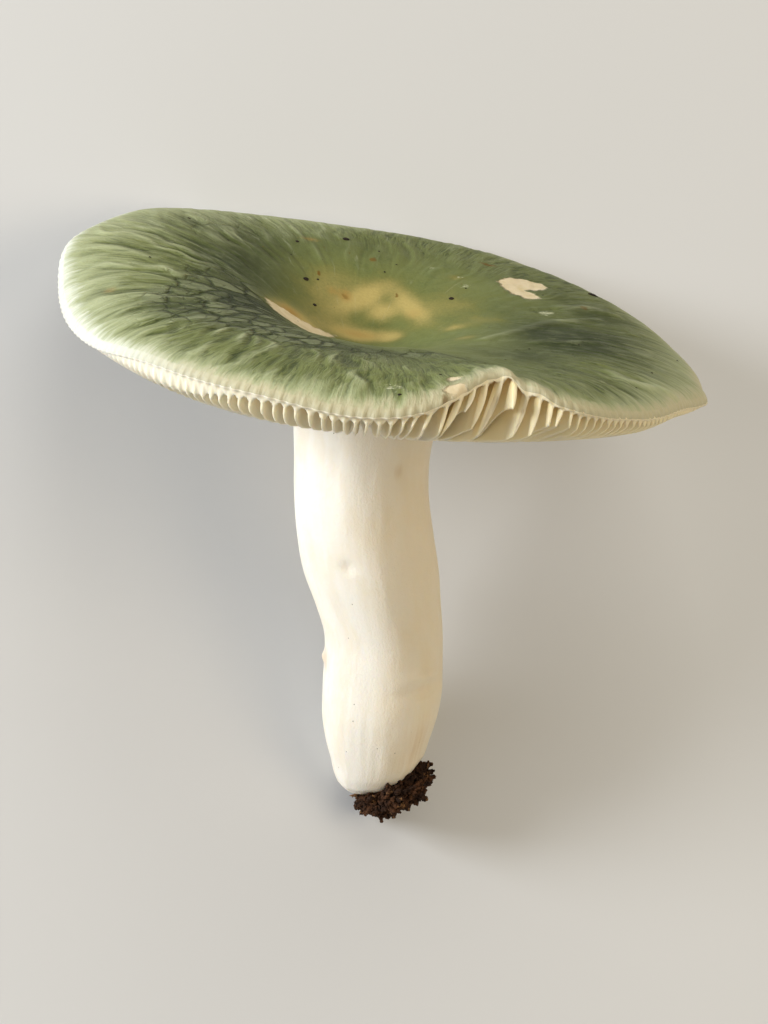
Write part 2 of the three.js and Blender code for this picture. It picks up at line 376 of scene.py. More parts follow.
@dataclass
class Skin:
    """A closed surface that runs from one pole, through rings, to the other pole."""

    first: np.ndarray
    rings: list[Ring]
    last: np.ndarray
    sharp: tuple[int, ...] = ()

    def _by_angle(self, a: Ring, b: Ring, start_a: int, start_b: int) -> list[tuple[int, int, int]]:
        """Triangles between two rings of different counts, matched by angle."""
        count_a, count_b = len(a.angles), len(b.angles)
        faces, i, j = [], 0, 0
        while i < count_a or j < count_b:
            next_a = a.angles[(i + 1) % count_a] + (TURN if i + 1 >= count_a else 0)
            next_b = b.angles[(j + 1) % count_b] + (TURN if j + 1 >= count_b else 0)
            here_a, here_b = start_a + i % count_a, start_b + j % count_b
            if j < count_b and (i >= count_a or next_b <= next_a):
                faces.append((here_a, here_b, start_b + (j + 1) % count_b))
                j += 1
            else:
                faces.append((here_a, here_b, start_a + (i + 1) % count_a))
                i += 1
        return faces

    def faces(self, starts: list[int]) -> list[tuple[int, ...]]:
        """All faces, wound so that they point outwards.

        Args:
            starts: Index of each ring's first point.

        Returns:
            Faces as tuples of point indices.
        """
        end = starts[-1] + len(self.rings[-1].angles)
        count = len(self.rings[0].angles)
        faces = [(0, starts[0] + i, starts[0] + (i + 1) % count) for i in range(count)]
        for (a, b), (start_a, start_b) in zip(zip(self.rings, self.rings[1:]), zip(starts, starts[1:])):
            count = len(a.angles)
            if count != len(b.angles):
                faces += self._by_angle(a, b, start_a, start_b)
                continue
            i = np.arange(count)
            j = (i + 1) % count
            faces += [tuple(quad) for quad in np.stack((start_a + i, start_b + i, start_b + j, start_a + j), 1).tolist()]
        count = len(self.rings[-1].angles)
        return faces + [(starts[-1] + i, end, starts[-1] + (i + 1) % count) for i in range(count)]

    def mesh(self, name: str, lying: Lying) -> bpy.types.Mesh:
        """The surface as a mesh on the table.

        Args:
            name: The mesh's name.
            lying: How the mushroom lies.

        Returns:
            A smooth mesh that carries the rings' values.
        """
        starts, total = [], 1
        for ring in self.rings:
            starts.append(total)
            total += len(ring.angles)
        grown = np.concatenate([self.first[None], *(ring.points for ring in self.rings), self.last[None]])
        mesh = bpy.data.meshes.new(name)
        mesh.from_pydata(lying.settle(grown).tolist(), [], self.faces(starts))
        for key in self.rings[0].values:
            rows = [ring.values[key] for ring in self.rings]
            values = np.concatenate([rows[0].mean(0)[None], *rows, rows[-1].mean(0)[None]]).astype(np.float32)
            kind, slot = ("FLOAT_VECTOR", "vector") if values.ndim == 2 else ("FLOAT", "value")
            mesh.attributes.new(key.value, kind, "POINT").data.foreach_set(slot, values.ravel())
        mesh.shade_smooth()
        self._sharpen(mesh, starts)
        return mesh

    def _sharpen(self, mesh: bpy.types.Mesh, starts: list[int]) -> None:
        """Marks the edges along the sharp rings, so that shading doesn't run across them."""
        ends = np.empty(len(mesh.edges) * 2, dtype=int)
        mesh.edges.foreach_get("vertices", ends)
        ends = ends.reshape(-1, 2)
        sharp = np.zeros(len(ends), dtype=bool)
        for index in self.sharp:
            first, last = starts[index], starts[index] + len(self.rings[index].angles)
            sharp |= ((ends >= first) & (ends < last)).all(1)
        mesh.attributes.new("sharp_edge", "BOOLEAN", "EDGE").data.foreach_set("value", sharp)


def piece(mesh: bpy.types.Mesh, material: bpy.types.Material | None = None) -> bpy.types.Object:
    """An object at the origin that shows a mesh, linked to the scene."""
    made = bpy.data.objects.new(mesh.name, mesh)
    if material is not None and not mesh.materials:
        mesh.materials.append(material)
    bpy.context.scene.collection.objects.link(made)
    return made


def dress(made: bpy.types.Object, slot: str, *nodes: str) -> None:
    """Attaches a piece to the body that it rides on and hides the imported parts that it stands for."""
    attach(made, BODY)
    if nodes:
        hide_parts(*nodes)


class Wire:
    """A socket of a node tree that takes part in Python sums."""

    def __init__(self, tree: Tree, socket: bpy.types.NodeSocket) -> None:
        """Keeps the tree, which new Math nodes go to, and the socket."""
        self.tree = tree
        self.socket = socket

    def _sum(self, operation: str, *values: Wire | float) -> Wire:
        """A Math node over the given values."""
        return self.tree.node("ShaderNodeMath", {"operation": operation}, dict(enumerate(values)))

    def __add__(self, other: Wire | float) -> Wire:
        """self + other."""
        return self._sum("ADD", self, other)

    __radd__ = __add__

    def __sub__(self, other: Wire | float) -> Wire:
        """self - other."""
        return self._sum("SUBTRACT", self, other)

    def __rsub__(self, other: Wire | float) -> Wire:
        """other - self."""
        return self._sum("SUBTRACT", other, self)

    def __mul__(self, other: Wire | float) -> Wire:
        """self * other."""
        return self._sum("MULTIPLY", self, other)

    __rmul__ = __mul__

    def __truediv__(self, other: Wire | float) -> Wire:
        """self / other."""
        return self._sum("DIVIDE", self, other)

    def __pow__(self, other: Wire | float) -> Wire:
        """self to the power of other."""
        return self._sum("POWER", self, other)

    def size(self) -> Wire:
        """The value with no sign."""
        return self._sum("ABSOLUTE", self)

    def most(self, other: Wire | float) -> Wire:
        """The larger of the two."""
        return self._sum("MAXIMUM", self, other)

    def least(self, other: Wire | float) -> Wire:
        """The smaller of the two."""
        return self._sum("MINIMUM", self, other)


class Tree:
    """Builds a shader or geometry tree node by node."""

    def __init__(self, tree: bpy.types.NodeTree) -> None:
        """Keeps the tree and empties it."""
        self.tree = tree
        tree.nodes.clear()

    def node(
        self, kind: str, settings: dict[str, object] | None = None,
        inputs: dict[str | int, object] | None = None, output: str | int = 0,
    ) -> Wire:
        """Adds a node.

        Args:
            kind: The node's type.
            settings: Its properties, which are set first.
            inputs: What its sockets get, by name or number: wires or plain values.
            output: The socket to return.

        Returns:
            The chosen output.
        """
        made = self.tree.nodes.new(kind)
        for name, value in (settings or {}).items():
            setattr(made, name, value)
        for name, value in (inputs or {}).items():
            self.feed(made.inputs[name], value)
        return Wire(self, made.outputs[output]) if len(made.outputs) else Wire(self, made.inputs[0])

    def feed(self, socket: bpy.types.NodeSocket, value: object) -> None:
        """Links a wire to a socket, or sets the socket's own value."""
        if isinstance(value, Wire):
            self.tree.links.new(value.socket, socket)
        elif isinstance(value, tuple) and len(value) == 3 and socket.type == "RGBA":
            socket.default_value = (*value, 1.0)
        else:
            socket.default_value = value

    def value_of(self, place: Place, output: str = "Fac") -> Wire:
        """A value that the mesh carries."""
        return self.node("ShaderNodeAttribute", {"attribute_name": place.value}, output=output)

    def smooth(self, value: Wire, low: Wire | float, high: Wire | float, start: float = 0.0, end: float = 1.0) -> Wire:
        """Runs smoothly from `start` to `end` as a value goes from `low` to `high`."""
        inputs = {"Value": value, "From Min": low, "From Max": high, "To Min": start, "To Max": end}
        return self.node("ShaderNodeMapRange", {"interpolation_type": "SMOOTHSTEP"}, inputs)

    def mix(self, factor: Wire | float, low: Wire | Colour, high: Wire | Colour, mode: str = "MIX") -> Wire:
        """Mixes two colours."""
        settings = {"data_type": "RGBA", "blend_type": mode}
        return self.node("ShaderNodeMix", settings, {0: factor, 6: low, 7: high}, output=2)

    def vector(self, x: Wire | float, y: Wire | float, z: Wire | float) -> Wire:
        """Three numbers as a vector."""
        return self.node("ShaderNodeCombineXYZ", inputs={0: x, 1: y, 2: z})

    def parts(self, vector: Wire) -> tuple[Wire, Wire, Wire]:
        """A vector's three numbers."""
        split = self.node("ShaderNodeSeparateXYZ", inputs={0: vector}).socket.node
        return tuple(Wire(self, out) for out in split.outputs)

    def stretched(self, vector: Wire, x: float, y: float, z: float) -> Wire:
        """A vector with each part multiplied."""
        return self.node("ShaderNodeVectorMath", {"operation": "MULTIPLY"}, {0: vector, 1: (x, y, z)})

    def shifted(self, vector: Wire, by: Wire | tuple[float, float, float], amount: float) -> Wire:
        """A vector moved by an amount of another, whose parts run from 0 to 1."""
        centred = self.node("ShaderNodeVectorMath", {"operation": "SUBTRACT"}, {0: by, 1: (0.5, 0.5, 0.5)})
        scaled = self.node("ShaderNodeVectorMath", {"operation": "SCALE"}, {0: centred, "Scale": amount})
        return self.node("ShaderNodeVectorMath", {"operation": "ADD"}, {0: vector, 1: scaled})

    def noise(
        self, place: Wire, scale: float = 1.0, detail: float = 2.0, rough: float = 0.5,
        distortion: float = 0.0, output: str = "Factor",
    ) -> Wire:
        """Cloudy noise from 0 to 1."""
        inputs = {"Vector": place, "Scale": scale, "Detail": detail, "Roughness": rough, "Distortion": distortion}
        made = self.node("ShaderNodeTexNoise", {"noise_dimensions": "3D"}, inputs).socket.node
        return Wire(self, made.outputs[0 if output == "Factor" else 1])

    def cells(self, place: Wire, scale: float, feature: str, output: str = "Distance", uneven: float = 1.0) -> Wire:
        """Voronoi cells."""
        inputs = {"Vector": place, "Scale": scale, "Randomness": uneven}
        return self.node("ShaderNodeTexVoronoi", {"feature": feature}, inputs, output)

    def ramp(self, value: Wire, stops: tuple[tuple[float, Colour], ...]) -> Wire:
        """Colours along a value from 0 to 1."""
        made = self.node("ShaderNodeValToRGB", inputs={"Fac": value}).socket.node
        bar = made.color_ramp
        while len(bar.elements) < len(stops):
            bar.elements.new(1.0)
        for element, (at, tint) in zip(bar.elements, stops):
            element.position = at
            element.color = (*tint, 1.0)
        return Wire(self, made.outputs[0])

    def bump(self, height: Wire, distance: float, strength: float = 1.0, under: Wire | None = None) -> Wire:
        """A normal that follows a height.

        Args:
            height: The height, in shares of `distance`.
            distance: Metres for a height of 1.
            strength: How much of it shows.
            under: A normal that it adds to.

        Returns:
            The normal.
        """
        inputs = {"Height": height, "Distance": distance, "Strength": strength}
        if under is not None:
            inputs["Normal"] = under
        return self.node("ShaderNodeBump", inputs=inputs)


def new_material(name: str) -> tuple[bpy.types.Material, Tree]:
    """An empty node material and the tree to fill."""
    material = bpy.data.materials.new(name)
    material.use_nodes = True
    return material, Tree(material.node_tree)


def finish_material(
    tree: Tree, base: Wire | Colour, roughness: Wire | float, normal: Wire | None,
    translucent: float = 0.0, depth: float = 0.0, gloss: float = 0.5,
) -> None:
    """Ends a material with its surface shader.

    Args:
        tree: The material's tree.
        base: Base colour.
        roughness: Roughness.
        normal: Normal, or None for the mesh's own.
        translucent: Share of light that passes into the flesh.
        depth: How far that light runs, in metres.
        gloss: Specular level.
    """
    inputs = {"Base Color": base, "Roughness": roughness, "Specular IOR Level": gloss}
    if normal is not None:
        inputs["Normal"] = normal
    if translucent:
        inputs |= {"Subsurface Weight": translucent, "Subsurface Radius": (1.0, 0.75, 0.45), "Subsurface Scale": depth}
    shader = tree.node("ShaderNodeBsdfPrincipled", inputs=inputs)
    tree.node("ShaderNodeOutputMaterial", inputs={"Surface": shader})


@dataclass(frozen=True)
class Patch:
    """A soft-edged oval on the cap, in the plane of its edge: middle, half sizes, turn and strength."""

    x: float
    y: float
    half_x: float
    half_y: float
    turn: float = 0.0
    strength: float = 1.0

    def over(self, x: np.ndarray, y: np.ndarray) -> np.ndarray:
        """The oval's strength at each place, as a smooth bell."""
        c, s = math.cos(math.radians(self.turn)), math.sin(math.radians(self.turn))
        dx, dy = x - self.x, y - self.y
        u, v = (dx * c + dy * s) / self.half_x, (dy * c - dx * s) / self.half_y
        return self.strength * np.exp(-(u * u + v * v))

    def mask(self, tree: Tree, place: Wire, edge: float) -> Wire:
        """The oval as a shader mask, crisp to within `edge` of its size."""
        c, s = math.cos(math.radians(self.turn)), math.sin(math.radians(self.turn))
        x, y, _ = tree.parts(place)
        u = ((x - self.x) * c + (y - self.y) * s) / self.half_x
        v = ((y - self.y) * c - (x - self.x) * s) / self.half_y
        return tree.smooth((u * u + v * v) ** 0.5, 1 + edge, 1 - edge, 0.0, self.strength)


@dataclass(frozen=True)
class Outline:
    """A closed outline on the cap, in the plane of its edge."""

    points: tuple[tuple[float, float], ...]

    def depth(self, x: np.ndarray, y: np.ndarray) -> np.ndarray:
        """How far inside the outline each place is, in millimetres, negative outside."""
        away, inside = np.full(x.shape, 1e9), np.zeros(x.shape, dtype=bool)
        for (ax, ay), (bx, by) in zip(self.points, self.points[1:] + self.points[:1]):
            dx, dy = bx - ax, by - ay
            t = np.clip(((x - ax) * dx + (y - ay) * dy) / (dx * dx + dy * dy), 0, 1)
            away = np.minimum(away, np.hypot(x - ax - t * dx, y - ay - t * dy))
            inside ^= ((ay > y) != (by > y)) & (x < ax + (y - ay) * dx / (dy or 1e-9))
        return np.where(inside, away, -away)


@dataclass(frozen=True)
class Stroke:
    """A stroke on the cap: x, y and half width at each of its points."""

    points: tuple[tuple[float, float, float], ...]

    def depth(self, x: np.ndarray, y: np.ndarray) -> np.ndarray:
        """How far inside the stroke each place is, in millimetres, negative outside."""
        best = np.full(x.shape, -1e9)
        for (ax, ay, aw), (bx, by, bw) in zip(self.points, self.points[1:]):
            dx, dy = bx - ax, by - ay
            t = np.clip(((x - ax) * dx + (y - ay) * dy) / (dx * dx + dy * dy), 0, 1)
            best = np.maximum(best, aw + t * (bw - aw) - np.hypot(x - ax - t * dx, y - ay - t * dy))
        return best


def deepest(marks: tuple[Outline | Stroke, ...], x: np.ndarray, y: np.ndarray) -> np.ndarray:
    """How far inside the nearest mark each place is, within 3 mm."""
    return np.clip(np.max([mark.depth(x, y) for mark in marks], axis=0), -3, 3)


def total(patches: tuple[Patch, ...], x: np.ndarray, y: np.ndarray) -> np.ndarray:
    """The summed strength of patches, kept under 1."""
    return np.clip(sum(patch.over(x, y) for patch in patches), 0, 1)


@dataclass(frozen=True)
class CapFinish:
    """Grey-green skin that cracks into small plates over olive flesh, with a cream striped margin."""

    olive: Colour = colour(76, 88, 40)
    sage: Colour = colour(110, 118, 68)
    shade: Colour = colour(33, 44, 15)
    plate: Colour = colour(118, 125, 92)
    crack: Colour = colour(42, 52, 24)
    cream: Colour = colour(218, 221, 207)
    warm_cream: Colour = colour(174, 161, 122)
    pale: Colour = colour(172, 178, 140)
    fleck: Colour = colour(196, 198, 166)
    bowl: Colour = colour(176, 158, 96)
    warm: Colour = colour(108, 110, 56)
    tan: Colour = colour(160, 120, 56)
    scar: Colour = colour(225, 208, 176)
    rust: Colour = colour(104, 72, 8)
    dot: Colour = colour(34, 24, 8)

    rust_spots: tuple[Patch, ...] = (
        Patch(-9.7, 18.3, 0.3, 0.34, 0, 0.9),
        Patch(-2.7, 23.9, 0.45, 0.45, 0, 0.8),
        Patch(0.9, 17.1, 0.22, 0.26, 0, 0.8),
        Patch(13.1, 29.5, 1.2, 0.35, -10, 0.8),
        Patch(-5.9, 15.4, 0.35, 0.42, 40, 0.5),
        Patch(26.0, 18.0, 0.5, 0.4, 20, 0.5),
        Patch(5.6, -40.5, 0.5, 0.45, 0, 0.6),
    )

    def material(self) -> bpy.types.Material:
        """Builds the skin's material."""
        material, tree = new_material("cap_skin")
        plan = tree.value_of(Place.PLAN, "Vector")
        round_ = tree.value_of(Place.ROUND, "Vector")
        crest = tree.value_of(Place.CREST)
        cos, sin, share = tree.parts(round_)
        _, _, radius = tree.parts(plan)

        def polar(around: float, along: float) -> Wire:
            """Coordinates for stripes that run outwards: cells round the turn, and millimetres along."""
            return tree.vector(cos * around, sin * around, radius / along)

        back = tree.smooth(sin, 0.0, 0.8) * 9
        outer = tree.smooth(radius, back + 14, back + 26)
        sway = tree.noise(tree.stretched(plan, 0.22, 0.22, 0), 1.0, 3.0, output="Color")
        stripes = (tree.noise(tree.shifted(polar(20, 6), sway, 1.3), 1.0, 3.0, 0.55, 0.5) - 0.5) * outer + 0.5
        fine = (tree.noise(tree.shifted(polar(45, 5), sway, 1.9), 1.0, 3.0, 0.6, 0.4) - 0.5) * outer + 0.5
        hair = (tree.noise(tree.shifted(polar(88, 4), sway, 2.6), 1.0, 2.0, 0.6, 0.3) - 0.5) * outer + 0.5
        clouds = tree.noise(tree.stretched(plan, 0.11, 0.11, 0), 1.0, 3.0, 0.55, 0.3)
        blots = tree.noise(tree.stretched(plan, 0.32, 0.32, 0), 1.0, 3.0, 0.6, 0.6)
        grain = tree.noise(tree.stretched(plan, 2.6, 2.6, 0), 1.0, 3.0, 0.6)
        bend = tree.noise(tree.stretched(plan, 0.35, 0.35, 0), 1.0, 2.0, output="Color")
        mottle = (tree.noise(tree.stretched(plan, 0.95, 0.95, 0), 1.0, 4.0, 0.65, 0.8) - 0.5) * (1 - outer) + 0.5

        # olive and sage clouds, drawn out into stripes
        tone = clouds * 0.24 + blots * 0.13 + mottle * 0.2 + stripes * 0.12 + fine * 0.18 + hair * 0.24
        base = tree.mix(tree.smooth(tone, 0.4, 0.6), self.olive, self.sage)
        # painted highlight on the wrinkles' crests and painted shade in their valleys, over the skin's own paler and
        # darker streaks
        base = tree.mix(tree.smooth(crest, 0.05, 0.8) * 0.7, base, self.pale)
        base = tree.mix(tree.smooth(crest, -0.05, -0.7) * 0.55, base, self.shade)
        base = tree.mix(tree.smooth(hair + (fine - 0.5) * 0.5, 0.5, 0.34) * 0.4, base, self.shade)
        # darker patches: partly the skin's own deep green, partly painted shade where the cap turns away from the light
        deep = tree.value_of(Place.DEEP_GREEN_AND_PAINTED_SHADE)
        base = tree.mix((deep * tree.smooth(blots + (fine - 0.5), 0.2, 0.65, 0.5, 1.0)).least(0.9), base, self.shade)

        # plates between cracks
        plates_at = tree.shifted(polar(9.2, 4.4), bend, 0.55)
        areole = tree.value_of(Place.AREOLE)
        cracked = tree.smooth(areole * 1.15 + (blots - 0.5) * 0.9, 0.2, 0.62)
        edge = tree.cells(plates_at, 1.0, "DISTANCE_TO_EDGE")
        gap = tree.smooth(edge, 0.065, 0.01) * cracked
        small_edge = tree.cells(tree.shifted(polar(19, 2.3), bend, 0.5), 1.0, "DISTANCE_TO_EDGE")
        small_gap = tree.smooth(small_edge, 0.09, 0.02) * cracked * tree.smooth(fine, 0.42, 0.6)
        base = tree.mix(cracked * 0.42, base, self.shade)
        which, _, _ = tree.parts(tree.cells(plates_at, 1.0, "F1", "Color"))
        plate = tree.smooth(edge, 0.04, 0.18) * cracked * tree.smooth(which, 0.1, 0.75, 0.1, 1.0)
        base = tree.mix(plate * tree.smooth(fine, 0.3, 0.6, 0.6, 0.95), base, self.plate)
        base = tree.mix((gap * tree.smooth(which, 0.0, 0.6, 0.25, 0.75)).most(small_gap * 0.5), base, self.crack)

        # bowl
        yellow = tree.value_of(Place.YELLOW)
        uneven = yellow + (blots - 0.5) * 0.45 + (grain - 0.5) * 0.12
        base = tree.mix(tree.smooth(uneven, 0.0, 0.45) * 0.75, base, self.warm)
        base = tree.mix(tree.smooth(uneven, 0.2, 1.05) * 0.95, base, self.bowl)
        base = tree.mix(tree.smooth(tree.value_of(Place.TAN) + (grain - 0.5) * 0.4, 0.1, 1.0) * 0.75, base, self.tan)

        # margin
        light = tree.value_of(Place.PALE)
        tongues = tree.noise(tree.shifted(polar(36, 9), sway, 1.6), 1.0, 3.0, 0.6, 0.3)
        streaks = (fine - 0.5) * 0.5 + (tongues - 0.5) * 0.8 + crest * 0.3
        base = tree.mix(tree.smooth(light + streaks, 0.1, 0.95) * 0.8, base, self.pale)
        cream = tree.value_of(Place.CREAM)
        brim = tree.smooth(cream + (tongues - 0.5) * 1.7 + (hair - 0.5) * 0.7, 0.15, 1.3)
        warmer = tree.smooth(sin, -0.45, -0.95).most(tree.smooth(cos, -0.2, 0.5))
        base = tree.mix(brim * 0.9, base, tree.mix(warmer * 0.8, self.cream, self.warm_cream))

        # scars and stains
        frayed = tree.noise(tree.stretched(plan, 1.1, 1.1, 0), 1.0, 3.0)
        scar = tree.smooth(tree.value_of(Place.SCAR) + (frayed - 0.5) * 1.2, -0.15, 0.4)
        base = tree.mix(scar * 0.96, base, tree.mix(tree.smooth(blots, 0.3, 0.8) * 0.5, self.scar, self.bowl))
        torn_at = tree.shifted(plan, tree.noise(tree.stretched(plan, 1.1, 1.1, 0), 1.0, 3.0, output="Color"), 1.1)
        for spot in self.rust_spots:
            base = tree.mix(spot.mask(tree, torn_at, 0.6), base, self.rust)
        dotted = tree.stretched(plan, 0.85, 0.85, 0)
        some, tint, _ = tree.parts(tree.cells(dotted, 1.0, "F1", "Color"))
        dots = tree.smooth(tree.cells(dotted, 1.0, "F1"), 0.13, 0.06) * tree.smooth(some, 0.84, 0.9)
        dots = dots * tree.smooth(radius, 36.0, 24.0, 0.15, 0.75)
        base = tree.mix(dots, base, tree.mix(tree.smooth(tint, 0.3, 0.5), self.dot, self.rust))
        flecked = tree.smooth(tree.value_of(Place.FLECK) + (frayed - 0.5) * 1.2 + (grain - 0.5) * 0.9, 0.45, 0.8)
        base = tree.mix(flecked * 0.75, base, self.fleck)

        base = tree.mix(0.3, base, tree.mix(grain, (0.25, 0.25, 0.25), (0.9, 0.9, 0.9)), "SOFT_LIGHT")
        relief = crest * 0.15 + stripes * 0.3 + fine * 0.45 + hair * 0.35 - gap * 0.8 - small_gap * 0.35 + plate * 0.4
        relief = (relief + grain * 0.1) * (1 - scar * 0.8) - scar * 0.25
        rough = tree.smooth(blots + (grain - 0.5) * 0.4, 0.3, 0.7, 0.5, 0.66)
        normal = tree.bump(relief, 0.5 * MM, 0.9)
        finish_material(tree, base, rough, normal, 0.12, 1.2 * MM, 0.2)
        return material


@dataclass(frozen=True)
class GillFinish:
    """Cream gills, with painted shade, darker and browner, deep in the pockets between them."""

    edge: Colour = colour(236, 220, 180)
    # painted light: the cooler, whiter edge colour stands for the key light that falls on the left
    key_lit_edge: Colour = colour(232, 232, 222)
    side: Colour = colour(235, 213, 160)
    # painted shade: this darker, browner colour stands for the shade deep in the pockets between the gills
    root: Colour = colour(210, 174, 116)

    def material(self) -> bpy.types.Material:
        """Builds the gills' material."""
        material, tree = new_material("gills")
        pocket = tree.value_of(Place.POCKET)
        even = tree.value_of(Place.EVEN)
        inward = tree.value_of(Place.INWARD)
        place = tree.node("ShaderNodeTexCoord", output="Object")
        mottle = tree.noise(place, 420.0, 3.0, 0.6)
        broad = tree.noise(place, 60.0, 2.0, 0.5)
        # painted light: gill edges cooler and whiter on the key-lit left, warmer and darker on the right
        edge = tree.mix(even, self.key_lit_edge, self.edge)
        base = tree.mix(tree.smooth(pocket, 0.1, 0.85), edge, self.side)
        # painted shade: darker and browner deep in the pockets, more so farther in from the edge
        base = tree.mix(tree.smooth(pocket, 0.75, 1.0) * tree.smooth(inward, 0.4, 2.5) * 0.8, base, self.root)
        base = tree.mix(tree.smooth(broad, 0.5, 0.75) * 0.25, base, self.side)
        relief = mottle * 0.5
        finish_material(tree, base, tree.smooth(mottle, 0.3, 0.7, 0.45, 0.6), tree.bump(relief, 0.08 * MM), 0.35, 1.2 * MM, 0.4)
        return material


@dataclass(frozen=True)
class StemFinish:
    """White stem with faint lengthwise fibres, cream mottling, painted cream shade on its right side away from the key
    light, and small stains.
    """

    white: Colour = colour(240, 235, 224)
    cream: Colour = colour(224, 205, 164)
    stain: Colour = colour(190, 152, 96)
    speck: Colour = colour(58, 38, 22)

    def material(self) -> bpy.types.Material:
        """Builds the stem's material."""
        material, tree = new_material("stem_flesh")
        round_ = tree.value_of(Place.ROUND, "Vector")
        stained = tree.value_of(Place.YELLOW)
        cos, sin, height = tree.parts(round_)

        def fibres(around: float, along: float) -> Wire:
            """Coordinates for fibres that run up the stem."""
            return tree.vector(cos * around, sin * around, height / along)

        broad = tree.noise(fibres(2.2, 9), 1.0, 3.0, 0.55, 0.3)
        fibre = tree.noise(fibres(17, 6), 1.0, 4.0, 0.6, 0.5)
        pits = tree.noise(fibres(25, 0.42), 1.0, 3.0, 0.65)
        dots = tree.cells(fibres(9, 1.4), 1.0, "F1")
        which, _, _ = tree.parts(tree.cells(fibres(9, 1.4), 1.0, "F1", "Color"))
        base = tree.mix(tree.smooth(broad * 0.85 + fibre * 0.15, 0.42, 0.66) * 0.25, self.white, self.cream)
        # painted shade: the right side, away from the key light, is made creamier and darker
        base = tree.mix(tree.smooth(cos, -0.5, 0.9) * 0.5, base, self.cream)
        base = tree.mix(tree.smooth(stained + (fibre - 0.5) * 0.5, 0.2, 0.9) * 0.6, base, self.stain)
        dirt = tree.smooth(dots, 0.09, 0.05) * tree.smooth(which, 0.93, 0.95)
        base = tree.mix(dirt * 0.85, base, self.speck)
        relief = fibre * 0.16 + pits * 0.34 + broad * 0.25
        rough = tree.smooth(pits, 0.3, 0.7, 0.42, 0.58)
        finish_material(tree, base, rough, tree.bump(relief, 0.28 * MM, 0.8), 0.3, 2.0 * MM, 0.4)
        return material


@dataclass(frozen=True)
class SoilFinish:
    """Dark crumbly soil with paler grains."""

    dark: Colour = colour(40, 23, 12)
    mid: Colour = colour(78, 48, 26)
    grain: Colour = colour(132, 96, 60)

    def material(self) -> bpy.types.Material:
        """Builds the soil's material."""
        material, tree = new_material("soil")
        place = tree.node("ShaderNodeTexCoord", output="Object")
        lumps = tree.noise(place, 700.0, 4.0, 0.65)
        fine = tree.noise(place, 2600.0, 3.0, 0.6)
        which, _, _ = tree.parts(tree.cells(place, 1500.0, "F1", "Color"))
        base = tree.mix(tree.smooth(lumps, 0.4, 0.66), self.dark, self.mid)
        base = tree.mix(tree.smooth(which, 0.86, 0.95) * tree.smooth(fine, 0.4, 0.6), base, self.grain)
        finish_material(tree, base, 0.9, tree.bump(lumps * 0.7 + fine * 0.4, 0.5 * MM), gloss=0.25)
        return material


@dataclass(frozen=True)
class PlainFinish:
    """A simple finish for specks and the table: one tint with a slight mottle."""

    name: str
    tint: Colour
    other: Colour
    scale: float
    rough: float

    def material(self) -> bpy.types.Material:
        """Builds the mottled material."""
        material, tree = new_material(self.name)
        place = tree.node("ShaderNodeTexCoord", output="Object")
        mottle = tree.noise(place, self.scale, 3.0, 0.6)
        base = tree.mix(tree.smooth(mottle, 0.3, 0.7), self.tint, self.other)
        finish_material(tree, base, self.rough, None, gloss=0.3)
        return material


@dataclass(frozen=True)
class GillRow:
    """How the gills stand round the cap: how many, and where they crowd or spread."""

    count: int = 184
    uneven: float = 0.26
    spread_at: float = -75.0
    spread_half: float = 8.0
    spread: float = 0.34
    slim: float = 0.72
    slim_at: float = -68.0
    slim_half: float = 14.0
    across: tuple[float, ...] = (0.0, 0.1, 0.18, 0.26, 0.38, 0.5, 0.62, 0.74, 0.82, 0.9)
    seed: int = 5

    def columns(self) -> tuple[np.ndarray, np.ndarray, np.ndarray]:
        """Angles of the mesh's columns.

        Returns:
            Rising angles over one turn, how far across its gill each is, and the gill's number.
        """
        angle = np.linspace(0, TURN, 7201)
        crowd = 1 - self.spread * bell(angle, self.spread_at, self.spread_half)
        crowd = crowd * (1 + self.uneven * Ripple(self.seed, 90, 1)(angle, angle * 0))
        passed = np.concatenate(([0], np.cumsum((crowd[1:] + crowd[:-1]) / 2)))
        passed *= self.count / passed[-1]
        number = np.repeat(np.arange(self.count), len(self.across))
        side = np.tile(self.across, self.count)
        off = side - 0.5
        torn = bell(np.interp(number + side, passed, angle), self.slim_at, self.slim_half)
        slim = off * (1 - self.slim * torn * np.exp(-((off / 0.2) ** 2)))
        return np.interp(number + 0.5 + slim, passed, angle), side, number


